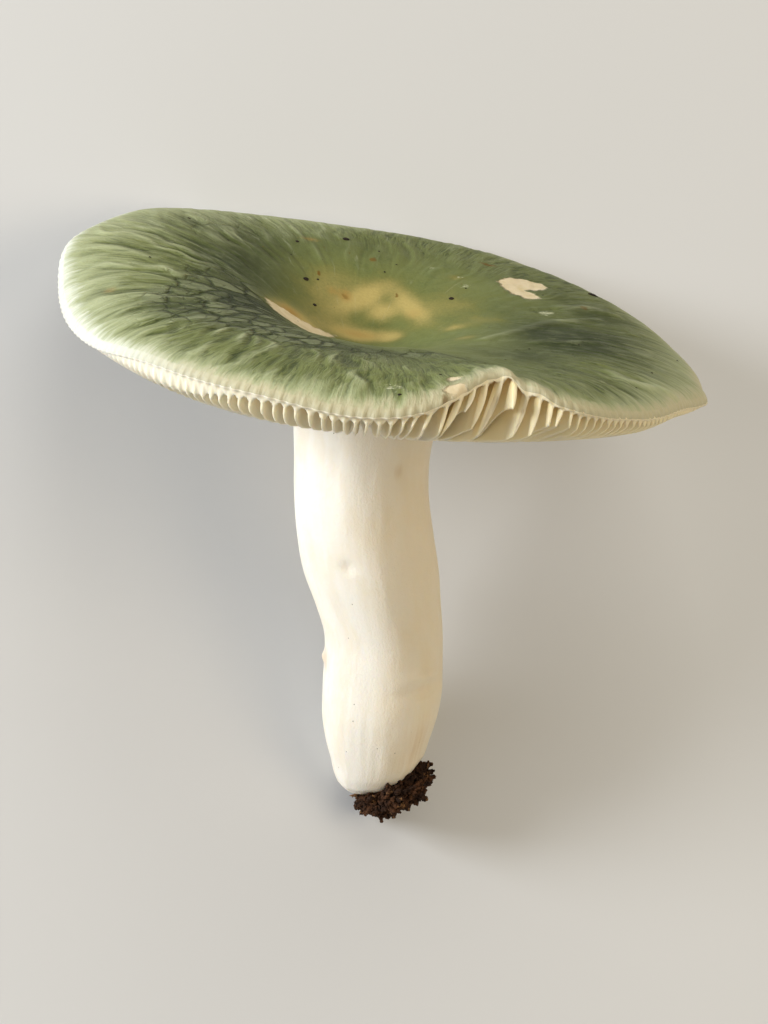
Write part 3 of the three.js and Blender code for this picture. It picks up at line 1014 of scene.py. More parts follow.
@dataclass
class Cap:
    """The cap's upper side down to the lip of its margin, over a hidden floor inside the flesh."""

    form: CapForm
    gills: GillRow
    columns: int = 900
    wrinkle: float = 0.24
    wrinkle_fine: float = 0.08
    lump: float = 0.2
    ridge: float = 0.3
    shares: tuple[float, ...] = (
        *np.linspace(0.02, 0.14, 5), *np.linspace(0.155, 0.945, 68), 0.955, 0.965, 0.973, 0.98,
    )
    brim_shares: tuple[float, ...] = (0.986, 0.991, 0.995, 0.998)

    cream_width: tuple[tuple[float, float], ...] = (
        (-180, 2.3), (-165, 1.9), (-150, 1.7), (-120, 1.7), (-100, 1.3), (-82, 3.2), (-66, 2.6), (-50, 1.5),
        (-25, 2.1), (0, 2.9), (20, 2.2), (60, 1.0), (90, 0.9), (130, 1.1), (160, 1.9), (180, 2.3),
    )
    pale_width: tuple[tuple[float, float], ...] = (
        (-180, 11), (-165, 8), (-150, 5), (-120, 4.0), (-90, 3.2), (-60, 3), (-30, 5.5), (0, 8), (45, 3),
        (90, 3.2), (120, 6.5), (145, 11), (165, 12), (180, 11),
    )
    yellows: tuple[Patch, ...] = (
        Patch(-3, 16, 13, 9, 0, 0.2),
        Patch(-3.2, 16.2, 4.2, 1.5, 45, 0.75),
        Patch(2.7, 14.8, 4.4, 1.6, -58, 0.8),
        Patch(-3.6, 9.0, 4.2, 1.4, 4, 0.9),
        Patch(0.8, 8.6, 1.6, 1.3, 0, 0.6),
        Patch(-13.0, 6.0, 3.6, 2.6, 20, 0.85),
        Patch(-9.0, 5.4, 3.2, 1.6, -20, 0.8),
        Patch(-8.0, 16.5, 5, 4, 0, 0.38),
        Patch(-8.5, 11, 4, 3.5, 0, 0.32),
        Patch(8.0, 14, 4.5, 5, 0, 0.36),
        Patch(-0.8, 13.8, 1.8, 1.6, 0, 0.75),
        Patch(8.4, 7.6, 1.7, 1.0, 0, 0.5),
        Patch(12.5, 9, 3, 2, 0, 0.35),
        Patch(9.7, 1.5, 1.8, 1.6, 0, 0.5),
        Patch(8.5, 22.6, 1.3, 0.9, 0, 0.4),
    )
    tans: tuple[Patch, ...] = (
        Patch(-13.0, 6.6, 1.9, 1.3, 30, 0.9),
        Patch(-7.8, 15.8, 1.0, 1.0, 0, 0.5),
        Patch(-5.8, 15.6, 1.1, 1.3, 0, 0.7),
        Patch(-3.5, 9.2, 3.6, 1.0, 0, 0.6),
        Patch(3.4, 13.2, 1.6, 1.6, 0, 0.4),
        Patch(-11.5, 26.1, 1.6, 0.7, 0, 0.6),
        Patch(-36.1, -4.9, 1.0, 1.0, 0, 0.6),
    )
    areoles: tuple[Patch, ...] = (
        Patch(-20, -9, 9, 10, -35, 1.0),
        Patch(-27, -9, 6, 8, 0, 0.2),
        Patch(-22, 4, 6, 6, 0, 0.5),
        Patch(-12, -19, 8, 5, -30, 0.7),
        Patch(3, -18, 10, 5, 0, 0.45),
        Patch(20, 14, 3, 2, 30, 0.3),
        Patch(20, -8, 8, 5, 0, 0.25),
        Patch(-24, 24, 9, 6, 40, 0.3),
    )
    # darker patches: partly the skin's own deep green, partly painted shade on slopes that face away from the light
    deep_green_and_painted_shade: tuple[Patch, ...] = (
        Patch(-20, 18, 9, 9, 0, 0.7),
        Patch(-18, -1, 5, 11, -12, 0.9),
        Patch(-9, 26, 12, 4, 10, 0.3),
        Patch(21, 3, 7, 9, 10, 1.0),
        Patch(15.5, 14, 4, 3.5, 35, 0.2),
        Patch(16, -11, 7, 4, -30, 0.6),
        Patch(30, 4, 6, 8, 0, 0.6),
        Patch(-5, -17, 12, 4, -10, 0.5),
        Patch(-0.9, 11.2, 1.6, 0.7, 0, 0.5),
        Patch(-5.8, 12.4, 1.8, 0.9, 0, 0.35),
        Patch(22, -20, 9, 5, -25, 0.35),
        Patch(-27, -14, 9, 6, -30, 0.3),
        Patch(26, -6, 10, 6, 0, 0.5),
        Patch(28, 17, 6, 5, 0, 0.5),
        Patch(-23, 11, 6, 5, 0, 0.5),
        Patch(0, -24, 16, 6, 0, 0.35),
        Patch(-20, -4, 5, 5, 0, 0.4),
        Patch(20, 24, 12, 5, -30, 0.4),
    )
    scars: tuple[Outline | Stroke, ...] = (
        Outline((
            (14.2, 23.2), (15.1, 24.8), (17.5, 26.1), (20.3, 25.7), (21.6, 24.2), (20.3, 22.5), (18.2, 21.5),
            (19.4, 20.6), (20.3, 18.9), (18.6, 17.7), (16.6, 18.9), (15.0, 20.7))),
        Outline((
            (-16.7, 5.7), (-15.1, 5.8), (-14.2, 6.1), (-12.9, 6.2), (-11.5, 6.6), (-10.1, 7.0), (-8.7, 7.4),
            (-6.2, 7.9), (-7.9, 5.4), (-10.0, 3.4), (-12.2, 2.2), (-14.4, 1.8), (-15.7, 3.2))),
        Outline(((5.4, -36.2), (6.2, -35.0), (7.6, -35.4), (7.4, -36.5), (6.2, -36.9))),
        Outline(((5.0, -38.9), (6.2, -37.8), (7.8, -37.6), (8.6, -38.6), (8.2, -39.8), (6.0, -40.2))),
    )
    flecks: tuple[Patch, ...] = (
        Patch(20.5, 13.4, 1.9, 1.1, 30, 0.75),
        Patch(9.9, 20.2, 1.0, 0.8, 20, 0.7),
        Patch(5.2, 24.9, 0.8, 0.6, -30, 0.6),
        Patch(9.0, 22.8, 0.8, 0.5, 10, 0.6),
        Patch(-0.5, -38.2, 2.2, 1.4, 10, 0.6),
    )
    ridges: tuple[Stroke, ...] = (
        Stroke(((12.0, -1.0, 0.1), (16.8, 3.7, 0.35), (20.3, 8.5, 0.4), (27.9, 14.4, 0.1))),
        Stroke(((18.5, -2.4, 0.2), (22.0, -1.6, 0.4), (27.0, 0.5, 0.1))),
        Stroke(((26.7, -15.9, 0.1), (28.7, -18.5, 0.4), (31.2, -18.3, 0.45), (33.4, -16.4, 0.35), (35.9, -16.1, 0.2))),
        Stroke(((22.5, 16.5, 0.1), (26.0, 18.5, 0.25), (31.0, 19.5, 0.1))),
    )

    def relief(self, share: np.ndarray, angle: np.ndarray) -> tuple[np.ndarray, np.ndarray]:
        """The skin's small relief.

        Args:
            share: Share of the way out.
            angle: Angles in radians.

        Returns:
            Height in millimetres, and the wrinkles alone from -1 to 1.
        """
        r = share * self.form.edge_radius(angle)
        bend = angle + 0.05 * Ripple(21, 14, 9)(angle, r) + 0.036 * Ripple(22, 52, 2.7)(angle, r)
        broad = Ripple(23, 180, 6)(bend, r)
        narrow = Ripple(24, 320, 5)(bend, r)
        left = 0.3 + 0.7 * bell(angle, 178, 62) + 0.25 * bell(angle, -90, 40)
        shown = smooth_step(r, 16, 30) * (1 - smooth_step(share, 0.9, 1.0) * 0.8)
        wrinkles = (0.75 * broad + 0.4 * narrow) * left * shown
        lumps = Ripple(25, 13, 9)(angle, r) * smooth_step(r, 5, 15) * (1 - smooth_step(share, 0.85, 1.0))
        height = self.wrinkle * broad * left * shown + self.wrinkle_fine * narrow * shown + self.lump * lumps
        raised = smooth_step(deepest(self.ridges, *self.form.across(share, angle)), -1.3, 0.3)
        return height + self.ridge * raised, np.clip(wrinkles + 0.5 * raised, -1, 1)

    def ring(self, share: float, angle: np.ndarray, waviness: np.ndarray | None = None) -> Ring:
        """One ring of the skin.

        Args:
            share: Share of the way out.
            angle: Angles in radians.
            waviness: How far out the edge stands at each angle, in millimetres.

        Returns:
            The ring with all the values that the skin's finish reads.
        """
        shares = np.full_like(angle, share)
        height, wrinkles = self.relief(shares, angle)
        fade = smooth_step(shares, 1.0, 0.97)
        more = 0.0 if waviness is None else waviness * smooth_step(shares, 0.975, 1.0)
        x, y = self.form.across(shares, angle, more)
        points = self.form.point(x, y, self.form.top(shares, angle) + height * fade)
        edge = self.form.edge_radius(angle)
        inward = (1 - shares) * edge
        cream, pale = (np.interp(turn_from(angle, 0), *zip(*w)) for w in (self.cream_width, self.pale_width))
        values = {
            Place.PLAN: np.stack((x, y, shares * edge), -1),
            Place.ROUND: np.stack((np.cos(angle), np.sin(angle), shares), -1),
            Place.CREST: wrinkles,
            Place.CREAM: 1 - smooth_step(inward / cream, 0.0, 1.6) + 1.2 * (1 - smooth_step(inward, 0.1, 0.6)),
            Place.PALE: np.exp(-inward / pale),
            Place.YELLOW: total(self.yellows, x, y),
            Place.TAN: total(self.tans, x, y),
            Place.SCAR: deepest(self.scars, x, y),
            Place.AREOLE: total(self.areoles, x, y),
            Place.DEEP_GREEN_AND_PAINTED_SHADE: total(self.deep_green_and_painted_shade, x, y),
            Place.FLECK: total(self.flecks, x, y),
        }
        return Ring(angle, points, values)

    def hidden(self, share: float, angle: np.ndarray, like: Ring) -> Ring:
        """A ring of the floor inside the flesh, with the values of the ring it follows."""
        shares = np.full_like(angle, share)
        x, y = self.form.across(shares, angle)
        height = self.form.top(shares, angle) - 0.45 * self.form.flesh_thickness(shares)
        filler = {key: np.resize(value[:1], (len(angle), *value.shape[1:])) for key, value in like.values.items()}
        return Ring(angle, self.form.point(x, y, height), filler)

    def skin(self) -> Skin:
        """The cap as a closed surface."""
        even = np.arange(self.columns) * TURN / self.columns
        fine, side, _ = self.gills.columns()
        waves = self.form.scallops(fine, side)
        rings = [self.ring(share, even) for share in self.shares]
        rings += [self.ring(share, fine, waves) for share in (*self.brim_shares, 1.0)]
        lip = len(rings) - 1
        coarse = np.arange(184) * TURN / 184
        rings += [self.hidden(share, coarse, rings[lip]) for share in (0.985, 0.9, 0.5, 0.15)]
        centre = self.form.point(*self.form.across(0.0, 0.0), self.form.top(0.0, 0.0))
        floor = self.form.point(*self.form.across(0.0, 0.0), self.form.top(0.0, 0.0) - 4.0)
        return Skin(centre, rings, floor, (lip,))

    def build(self, lying: Lying) -> bpy.types.Object:
        """Makes the cap and dresses it."""
        made = piece(self.skin().mesh("cap", lying), CapFinish().material())
        dress(made, FLESH_SLOT, "mushroom")
        return made


@dataclass(frozen=True)
class GillTree:
    """Geometry tree that lets the gills down from the flesh, with arched pockets between them."""

    edge_width: float = 0.22
    wall: float = 0.2
    arch_start: float = 0.34
    arch_rise: float = 0.8
    arch_soft: float = 0.25
    unevenness: float = 0.4
    seed: float = 7.0

    def group(self, material: bpy.types.Material) -> bpy.types.NodeTree:
        """Builds the tree.

        Args:
            material: What the gills are finished with.

        Returns:
            The node group, with its sizes as named inputs.
        """
        made = bpy.data.node_groups.new("gill_row", "GeometryNodeTree")
        face = made.interface
        face.new_socket("Geometry", in_out="INPUT", socket_type="NodeSocketGeometry")
        for name in self.sizes():
            face.new_socket(name, in_out="INPUT", socket_type="NodeSocketFloat")
        face.new_socket("Geometry", in_out="OUTPUT", socket_type="NodeSocketGeometry")
        tree = Tree(made)
        given = tree.node("NodeGroupInput").socket.node

        def asked(name: str) -> Wire:
            """One of the group's inputs."""
            return Wire(tree, given.outputs[name])

        def carried(place: Place, kind: str = "FLOAT") -> Wire:
            """A value that the mesh carries."""
            return tree.node("GeometryNodeInputNamedAttribute", {"data_type": kind}, {"Name": place.value})

        side, inward = carried(Place.SIDE), carried(Place.INWARD)
        off = (1 - (side - 0.5).size() * 2)
        spot = tree.node("GeometryNodeInputPosition")
        wander = tree.noise(tree.shifted(tree.stretched(spot, 300, 300, 300), (1.0, 1.0, 1.0), self.seed), 1.0, 2.0)
        wander = (wander - 0.5) * asked("Unevenness")
        wall_from = asked("Edge Width") + wander * 0.25
        pocket = tree.smooth(off, wall_from, wall_from + asked("Wall"))
        arch = asked("Arch Start") + asked("Arch Rise") * ((1 - off) ** 1.6) + wander
        opened = tree.smooth(inward, arch, arch + asked("Arch Soft"))
        deep = pocket * opened
        hang = tree.node("ShaderNodeVectorMath", {"operation": "SCALE"}, {0: carried(Place.HANG, "FLOAT_VECTOR"), "Scale": 1 - deep})
        moved = tree.node("GeometryNodeSetPosition", inputs={"Geometry": asked("Geometry"), "Offset": hang})
        stored = tree.node(
            "GeometryNodeStoreNamedAttribute", {"data_type": "FLOAT", "domain": "POINT"},
            {"Geometry": moved, "Name": Place.POCKET.value, "Value": deep})
        whole = tree.node("GeometryNodeRealizeInstances", inputs={"Geometry": stored})
        faced = tree.node("GeometryNodeSetMaterial", inputs={"Geometry": whole, "Material": material})
        tree.node("NodeGroupOutput", inputs={"Geometry": faced})
        return made

    def sizes(self) -> dict[str, float]:
        """The tree's named inputs and their values."""
        return {
            "Edge Width": self.edge_width,
            "Wall": self.wall,
            "Arch Start": self.arch_start,
            "Arch Rise": self.arch_rise,
            "Arch Soft": self.arch_soft,
            "Unevenness": self.unevenness,
        }


def grown_by(made: bpy.types.Object, group: bpy.types.NodeTree, sizes: dict[str, object]) -> bpy.types.Object:
    """Runs a geometry tree on an object and keeps the result as a plain mesh.

    Args:
        made: The object, already in the scene.
        group: The geometry tree.
        sizes: Its inputs by name.

    Returns:
        The same object with the finished mesh and no modifier.
    """
    modifier = made.modifiers.new(group.name, "NODES")
    modifier.node_group = group
    for item in group.interface.items_tree:
        if item.in_out == "INPUT" and item.name in sizes:
            modifier[item.identifier] = sizes[item.name]
    graph = bpy.context.evaluated_depsgraph_get()
    mesh = bpy.data.meshes.new_from_object(made.evaluated_get(graph), preserve_all_data_layers=True, depsgraph=graph)
    made.modifiers.remove(modifier)
    mesh.name = made.name
    made.data = mesh
    return made


def press_flat(mesh: bpy.types.Mesh) -> None:
    """Flattens onto the table whatever reaches under it."""
    spots = np.empty(len(mesh.vertices) * 3, dtype=np.float32)
    mesh.vertices.foreach_get("co", spots)
    spots = spots.reshape(-1, 3)
    spots[:, 2] = np.maximum(spots[:, 2], 0)
    mesh.vertices.foreach_set("co", spots.ravel())
    mesh.update()


@dataclass
class Gills:
    """The crowded gills under the cap, with the lip of the margin that they hang from."""

    form: CapForm
    row: GillRow
    tree: GillTree = GillTree()
    walls: tuple[tuple[float, float], ...] = (
        (0.1, 0.07), (0.14, 0.15), (0.18, 0.24), (0.22, 0.35), (0.26, 0.48), (0.3, 0.64), (0.34, 0.82),
    )
    inwards: tuple[float, ...] = (
        0.38, 0.48, 0.6, 0.72, 0.86, 1.0, 1.2, 1.45, 1.75, 2.1, 2.6, 3.3, 4.2,
        5.4, 7, 9, 11.5, 14, 17, 20, 23, 26, 28.5, 30.5, 32.2, 33.6,
    )
    recess: float = 0.5
    broken: float = 0.7
    fan: float = 3.8
    twist: float = 1.1
    sweep: float = 2.4
    late: float = 2.6
    late_at: float = -165.0
    late_half: float = 44.0
    short_from: float = 8.0
    short_to: float = 27.0
    short_end: float = 4.0
    short_seed: int = 9
    lip: float = 0.5
    bulge: float = 0.1

    def ring(self, inward: float, angle: np.ndarray, side: np.ndarray, number: np.ndarray, down: float = 1.0) -> Ring:
        """A ring of the flesh that the gills are let down from.

        Args:
            inward: Millimetres from the edge.
            angle: The columns' angles.
            side: How far across its gill each column is.
            number: Each column's gill.
            down: Share of the way down the gills' front that the ring stands for.

        Returns:
            The ring, which carries how far and which way the gill hangs there.
        """
        form = self.form
        edge = form.edge_radius(angle)
        depth = np.full_like(angle, inward)
        share = np.maximum(1 - inward / edge, 0.16)
        off = np.abs(side - 0.5) * 2
        recess = self.recess * down * smooth_step(off, 0.0, 0.8) * (1 - smooth_step(depth, 0.4, 3.0))
        more = form.scallops(angle, side) * (1 - smooth_step(depth, 0.0, 1.5)) - recess
        x, y = form.across(share, angle, more)
        torn = form.tear(angle)
        out = self.fan * torn * (1 - smooth_step(depth, 0.0, 9.0))
        roots, edges = form.roots(share, angle), form.gill_edges(share, angle, out)
        lean = torn * down * (self.twist * np.sin(2.4 * number + 0.5) - self.sweep) * (1 - smooth_step(depth, 6.0, 16.0))
        lean = lean + 0.12 * np.sin(1.7 * number) * smooth_step(depth, 1.0, 4.0)
        gill = (number + (side > 0.5)) % self.row.count
        ends = np.random.default_rng(self.short_seed).uniform(self.short_from, self.short_to, self.row.count)[gill]
        fade = np.where(gill % 2 == 1, 1 - smooth_step(depth, ends, ends + self.short_end), 1.0)
        broken = torn * smooth_step(np.modf(np.abs(np.sin(12.9 * number + 1.7)) * 438.5)[0], 0.35, 0.75)
        fade = fade * (1 - self.broken * broken * (1 - smooth_step(depth, 1.5, 7.0)))
        flat_x = out * np.cos(angle) - lean * np.sin(angle)
        flat_y = out * np.sin(angle) + lean * np.cos(angle)
        hang = np.stack((flat_x, flat_y, (edges - roots) * fade), -1) @ form.lean().T * down
        points = form.point(x, y, roots)
        rim = np.ones_like(angle)
        wall = form.roots(rim, angle) - form.gill_edges(rim, angle, self.fan * torn)
        values = {
            Place.HANG: hang,
            Place.INWARD: depth + down * wall - self.late * np.exp(-((turn_from(angle, self.late_at) / self.late_half) ** 4)),
            Place.SIDE: (side + 0.5) % 1.0,
            # painted light tint round the cap: 0 on the key-lit left, 1 on the right
            Place.EVEN: 0.5 + 0.5 * np.cos(angle + 0.6),
        }
        return Ring(angle, points, values)

    def edge_ring(self, angle: np.ndarray, side: np.ndarray, below: float) -> Ring:
        """A ring of the margin's lip, a little below where the skin ends."""
        shares = np.ones_like(angle)
        x, y = self.form.across(shares, angle, self.form.scallops(angle, side) + self.bulge * below)
        top, root = self.form.top(shares, angle), self.form.roots(shares, angle)
        return self._plain(angle, self.form.point(x, y, top + (root - top) * below))

    def _plain(self, angle: np.ndarray, points: np.ndarray) -> Ring:
        """A ring that nothing hangs from."""
        none = np.zeros_like(angle)
        values = {Place.HANG: np.zeros((len(angle), 3)), Place.INWARD: none, Place.SIDE: none + 0.5, Place.EVEN: 0.5 + 0.5 * np.cos(angle + 0.6)}
        return Ring(angle, points, values)

    def hidden(self, share: float) -> Ring:
        """A ring of the shell's upper side, inside the cap's flesh."""
        angle = np.arange(self.row.count) * TURN / self.row.count
        shares = np.full_like(angle, share)
        x, y = self.form.across(shares, angle)
        height = self.form.top(shares, angle) - 0.35 * self.form.flesh_thickness(shares)
        return self._plain(angle, self.form.point(x, y, height))

    def build(self, lying: Lying) -> bpy.types.Object:
        """Makes the gills and dresses them."""
        angle, side, number = self.row.columns()
        rings = [self.hidden(share) for share in (0.15, 0.5, 0.9, 0.985)]
        rings += [self.edge_ring(angle, side, below) for below in (0.0, self.lip)]
        rings += [self.ring(inward, angle, side, number, down) for inward, down in self.walls]
        rings += [self.ring(inward, angle, side, number) for inward in self.inwards]
        for ring in rings:
            ring.values[Place.HANG] = lying.direction(ring.values[Place.HANG])
        centre = self.form.point(*self.form.across(0.0, 0.0), self.form.top(0.0, 0.0) - 2.0)
        floor = self.form.point(*self.form.across(0.0, 0.0), self.form.top(0.0, 0.0) - 5.0)
        made = piece(Skin(centre, rings, floor, (4,)).mesh("gills", lying))
        material = GillFinish().material()
        grown_by(made, self.tree.group(material), self.tree.sizes())
        press_flat(made.data)
        dress(made, FLESH_SLOT, "mushroom")
        return made


@dataclass
class Stem:
    """The stout, slightly crooked stem."""

    rings: tuple[tuple[float, float, float, float], ...] = (
        (54.5, -2.0, 0, 9.6), (50.2, -2.3, 0, 9.25), (46.7, -2.7, 0, 8.85), (41.2, -2.9, 0, 8.8),
        (35.7, -2.5, 0, 8.9), (30.2, -1.7, 0, 8.75), (25.6, -0.8, 0, 8.15), (22, -0.2, 0, 7.8),
        (17.5, -0.25, 0.1, 7.85), (13, -0.4, 0.2, 7.9), (9.2, -0.75, 0.3, 7.6), (6, -1, 0.4, 6.9),
        (3.4, -1.1, 0.5, 6.15), (1.4, -1.6, 0.5, 5.15), (-0.1, -2.1, 0.5, 3.8), (-0.9, -2.5, 0.5, 2.1),
        (-1.2, -2.8, 0.5, 0.02),
    )
    columns: int = 240
    steps: int = 170
    flute: float = 0.14
    fold: float = 0.1
    foot_from: float = 8.0

    stains: tuple[tuple[float, float, float, float, float], ...] = (
        (-58, 46, 7, 1.6, 0.55), (-165, 18.5, 14, 2.6, 0.6), (-40, 8, 30, 5, 0.5), (-70, 4.0, 40, 3.0, 0.25), (-25, 44, 14, 6, 0.3),
    )
    dents: tuple[tuple[float, float, float, float, float], ...] = (
        (-106, 33.3, 6, 0.9, -0.35), (-44, 15.4, 22, 0.9, -0.6), (-44, 17.4, 20, 1.1, 0.42), (-172, 18.6, 5, 0.7, 0.35), (-100, 12, 30, 2, 0.12),
    )

    def along(self, height: np.ndarray) -> np.ndarray:
        """Middle and radius of the stem at each height.

        Args:
            height: Heights as grown, falling.

        Returns:
            Rows of x, y and radius.
        """
        table = np.array(self.rings)[::-1]
        slopes = np.gradient(table[:, 1:], table[:, 0], axis=0)
        i = np.clip(np.searchsorted(table[:, 0], height) - 1, 0, len(table) - 2)
        low, high = table[i], table[i + 1]
        span = high[:, 0] - low[:, 0]
        t = ((height - low[:, 0]) / span)[:, None]
        span = span[:, None]
        start, end = (2 * t**3 - 3 * t**2 + 1), (3 * t**2 - 2 * t**3)
        rise, fall = (t**3 - 2 * t**2 + t) * span, (t**3 - t**2) * span
        return start * low[:, 1:] + rise * slopes[i] + end * high[:, 1:] + fall * slopes[i + 1]

    def _marks(self, marks: tuple[tuple[float, float, float, float, float], ...], angle: np.ndarray, height: float) -> np.ndarray:
        """Summed soft marks, each an angle, a height, their half widths and a strength."""
        return sum(m * bell(angle, a, w) * math.exp(-(((height - h) / t) ** 2)) for a, h, w, t, m in marks)

    def build(self, lying: Lying) -> bpy.types.Object:
        """Makes the stem and dresses it."""
        body = np.linspace(self.rings[0][0], self.foot_from, self.steps)
        foot = self.rings[-1][0] + (self.foot_from - self.rings[-1][0]) * (1 - np.sin(np.linspace(0, math.pi / 2, 36)[1:-1]))
        heights = np.concatenate((body, foot))
        angle = np.arange(self.columns) * TURN / self.columns
        folds, fibres = Ripple(31, 22, 9), Ripple(32, 60, 5)
        rings = []
        for height, (x, y, radius) in zip(heights, self.along(heights)):
            level = np.full_like(angle, height + 5)
            r = radius + self.flute * np.sin(5 * angle + height * 0.09) * min(1, radius / 6)
            relief = self.fold * folds(angle, level) + 0.04 * fibres(angle, level)
            r = r + (relief + self._marks(self.dents, angle, height)) * min(1, radius / 5)
            points = np.stack((x + r * np.cos(angle), y + r * np.sin(angle), np.full_like(angle, height)), -1)
            values = {
                Place.ROUND: np.stack((np.cos(angle), np.sin(angle), np.full_like(angle, height)), -1),
                Place.YELLOW: np.clip(self._marks(self.stains, angle, height), 0, 1),
            }
            rings.append(Ring(angle, points, values))
        top, end = self.rings[0], self.rings[-1]
        skin = Skin(np.array((top[1], top[2], top[0] + 0.5)), rings, np.array((end[1], end[2], end[0])))
        made = piece(skin.mesh("stem", lying), StemFinish().material())
        dress(made, FLESH_SLOT, "mushroom")
        return made


@dataclass(frozen=True)
class CrumbTree:
    """Geometry tree that strews crumbs over the clod of soil."""

    density: float = 5.0e6
    smallest: float = 0.12 * MM
    largest: float = 0.42 * MM
    seed: int = 3

    def group(self, material: bpy.types.Material) -> bpy.types.NodeTree:
        """Builds the tree, with its sizes as named inputs."""
        made = bpy.data.node_groups.new("soil_crumbs", "GeometryNodeTree")
        face = made.interface
        face.new_socket("Geometry", in_out="INPUT", socket_type="NodeSocketGeometry")
        for name in ("Density", "Smallest", "Largest"):
            face.new_socket(name, in_out="INPUT", socket_type="NodeSocketFloat")
        face.new_socket("Seed", in_out="INPUT", socket_type="NodeSocketInt")
        face.new_socket("Geometry", in_out="OUTPUT", socket_type="NodeSocketGeometry")
        tree = Tree(made)
        given = tree.node("NodeGroupInput").socket.node
        asked = {out.name: Wire(tree, out) for out in given.outputs if out.name}
        strewn = tree.node(
            "GeometryNodeDistributePointsOnFaces", {"distribute_method": "RANDOM"},
            {"Mesh": asked["Geometry"], "Density": asked["Density"], "Seed": asked["Seed"]})
        crumb = tree.node("GeometryNodeMeshIcoSphere", inputs={"Radius": 1.0, "Subdivisions": 1})
        size = tree.node("FunctionNodeRandomValue", {"data_type": "FLOAT"}, {2: asked["Smallest"], 3: asked["Largest"], "Seed": asked["Seed"]}, 1)
        spin = tree.node("FunctionNodeRandomValue", {"data_type": "FLOAT_VECTOR"}, {1: (TURN, TURN, TURN), "Seed": asked["Seed"]})
        turned = tree.node("FunctionNodeEulerToRotation", inputs={0: spin})
        squash = tree.vector(size, size * 0.75, size * 0.6)
        placed = tree.node("GeometryNodeInstanceOnPoints", inputs={"Points": strewn, "Instance": crumb, "Rotation": turned, "Scale": squash})
        joined = tree.node("GeometryNodeJoinGeometry").socket.node
        tree.tree.links.new(placed.socket, joined.inputs[0])
        tree.tree.links.new(asked["Geometry"].socket, joined.inputs[0])
        whole = tree.node("GeometryNodeRealizeInstances", inputs={"Geometry": Wire(tree, joined.outputs[0])})
        faced = tree.node("GeometryNodeSetMaterial", inputs={"Geometry": whole, "Material": material})
        tree.node("NodeGroupOutput", inputs={"Geometry": faced})
        return made

    def sizes(self) -> dict[str, object]:
        """The tree's named inputs and their values."""
        return {"Density": self.density, "Smallest": self.smallest, "Largest": self.largest, "Seed": self.seed}


@dataclass
class Soil:
    """The crumb of soil that clings to the stem's foot."""

    x: float = 1.1
    y: float = -0.8
    z: float = -0.6
    half: tuple[float, float, float] = (4.9, 3.8, 2.3)
    lean: float = 26.0
    lump: float = 0.5
    fineness: int = 6
    tree: CrumbTree = CrumbTree()

    def build(self, lying: Lying) -> bpy.types.Object:
        """Makes the clod, strews its crumbs and dresses it."""
        sphere = bpy.data.meshes.new("soil_clod")
        ball = bmesh.new()
        bmesh.ops.create_icosphere(ball, subdivisions=self.fineness, radius=1.0)
        ball.to_mesh(sphere)
        ball.free()
        unit = np.empty(len(sphere.vertices) * 3)
        sphere.vertices.foreach_get("co", unit)
        unit = unit.reshape(-1, 3)
        x, y, z = unit.T
        lumps = np.sin(7.3 * x + 1.1) * np.sin(6.1 * y + 0.4) + np.sin(9.7 * z + 4.2 * x) * np.cos(8.3 * y - 2.2 * z)
        for octave in (1, 2, 3):
            k = 9.0 * 1.9**octave
            lumps = lumps + (np.sin(k * x + octave) * np.sin(k * y + 2 * octave) * np.sin(k * z + 3 * octave)) * 1.6 / octave
        grown = unit * np.array(self.half) + unit * (self.lump * lumps)[:, None]
        turned = np.array(Matrix.Rotation(-math.radians(self.lean), 3, "Y"))
        grown = grown @ turned.T + np.array((self.x, self.y, self.z))
        sphere.vertices.foreach_set("co", lying.settle(grown).ravel())
        sphere.shade_smooth()
        made = piece(sphere)
        grown_by(made, self.tree.group(SoilFinish().material()), self.tree.sizes())
        press_flat(made.data)
        dress(made, SOIL_SLOT, "soil")
        return made


@dataclass(frozen=True)
class SpeckTree:
    """Geometry tree that sets a flattened grain on each marked spot."""

    fineness: int = 2

    def group(self, material: bpy.types.Material) -> bpy.types.NodeTree:
        """Builds the tree, with its sizes as named inputs."""
        made = bpy.data.node_groups.new("specks", "GeometryNodeTree")
        face = made.interface
        face.new_socket("Geometry", in_out="INPUT", socket_type="NodeSocketGeometry")
        face.new_socket("Fineness", in_out="INPUT", socket_type="NodeSocketInt")
        face.new_socket("Geometry", in_out="OUTPUT", socket_type="NodeSocketGeometry")
        tree = Tree(made)
        given = tree.node("NodeGroupInput").socket.node
        grain = tree.node("GeometryNodeMeshIcoSphere", inputs={"Radius": 1.0, "Subdivisions": Wire(tree, given.outputs["Fineness"])})
        size = tree.node("GeometryNodeInputNamedAttribute", {"data_type": "FLOAT_VECTOR"}, {"Name": Place.HANG.value})
        turn = tree.node("GeometryNodeInputNamedAttribute", {"data_type": "FLOAT_VECTOR"}, {"Name": Place.PLAN.value})
        turned = tree.node("FunctionNodeAlignRotationToVector", {"axis": "Z"}, {"Vector": turn})
        placed = tree.node(
            "GeometryNodeInstanceOnPoints",
            inputs={"Points": Wire(tree, given.outputs["Geometry"]), "Instance": grain, "Rotation": turned, "Scale": size})
        whole = tree.node("GeometryNodeRealizeInstances", inputs={"Geometry": placed})
        rough = tree.noise(tree.stretched(tree.node("GeometryNodeInputPosition"), 2400, 2400, 2400), 1.0, 2.0, output="Color")
        jitter = tree.shifted(tree.vector(0.0, 0.0, 0.0), rough, 0.22 * MM)
        uneven = tree.node("GeometryNodeSetPosition", inputs={"Geometry": whole, "Offset": jitter})
        faced = tree.node("GeometryNodeSetMaterial", inputs={"Geometry": uneven, "Material": material})
        tree.node("NodeGroupOutput", inputs={"Geometry": faced})
        return made


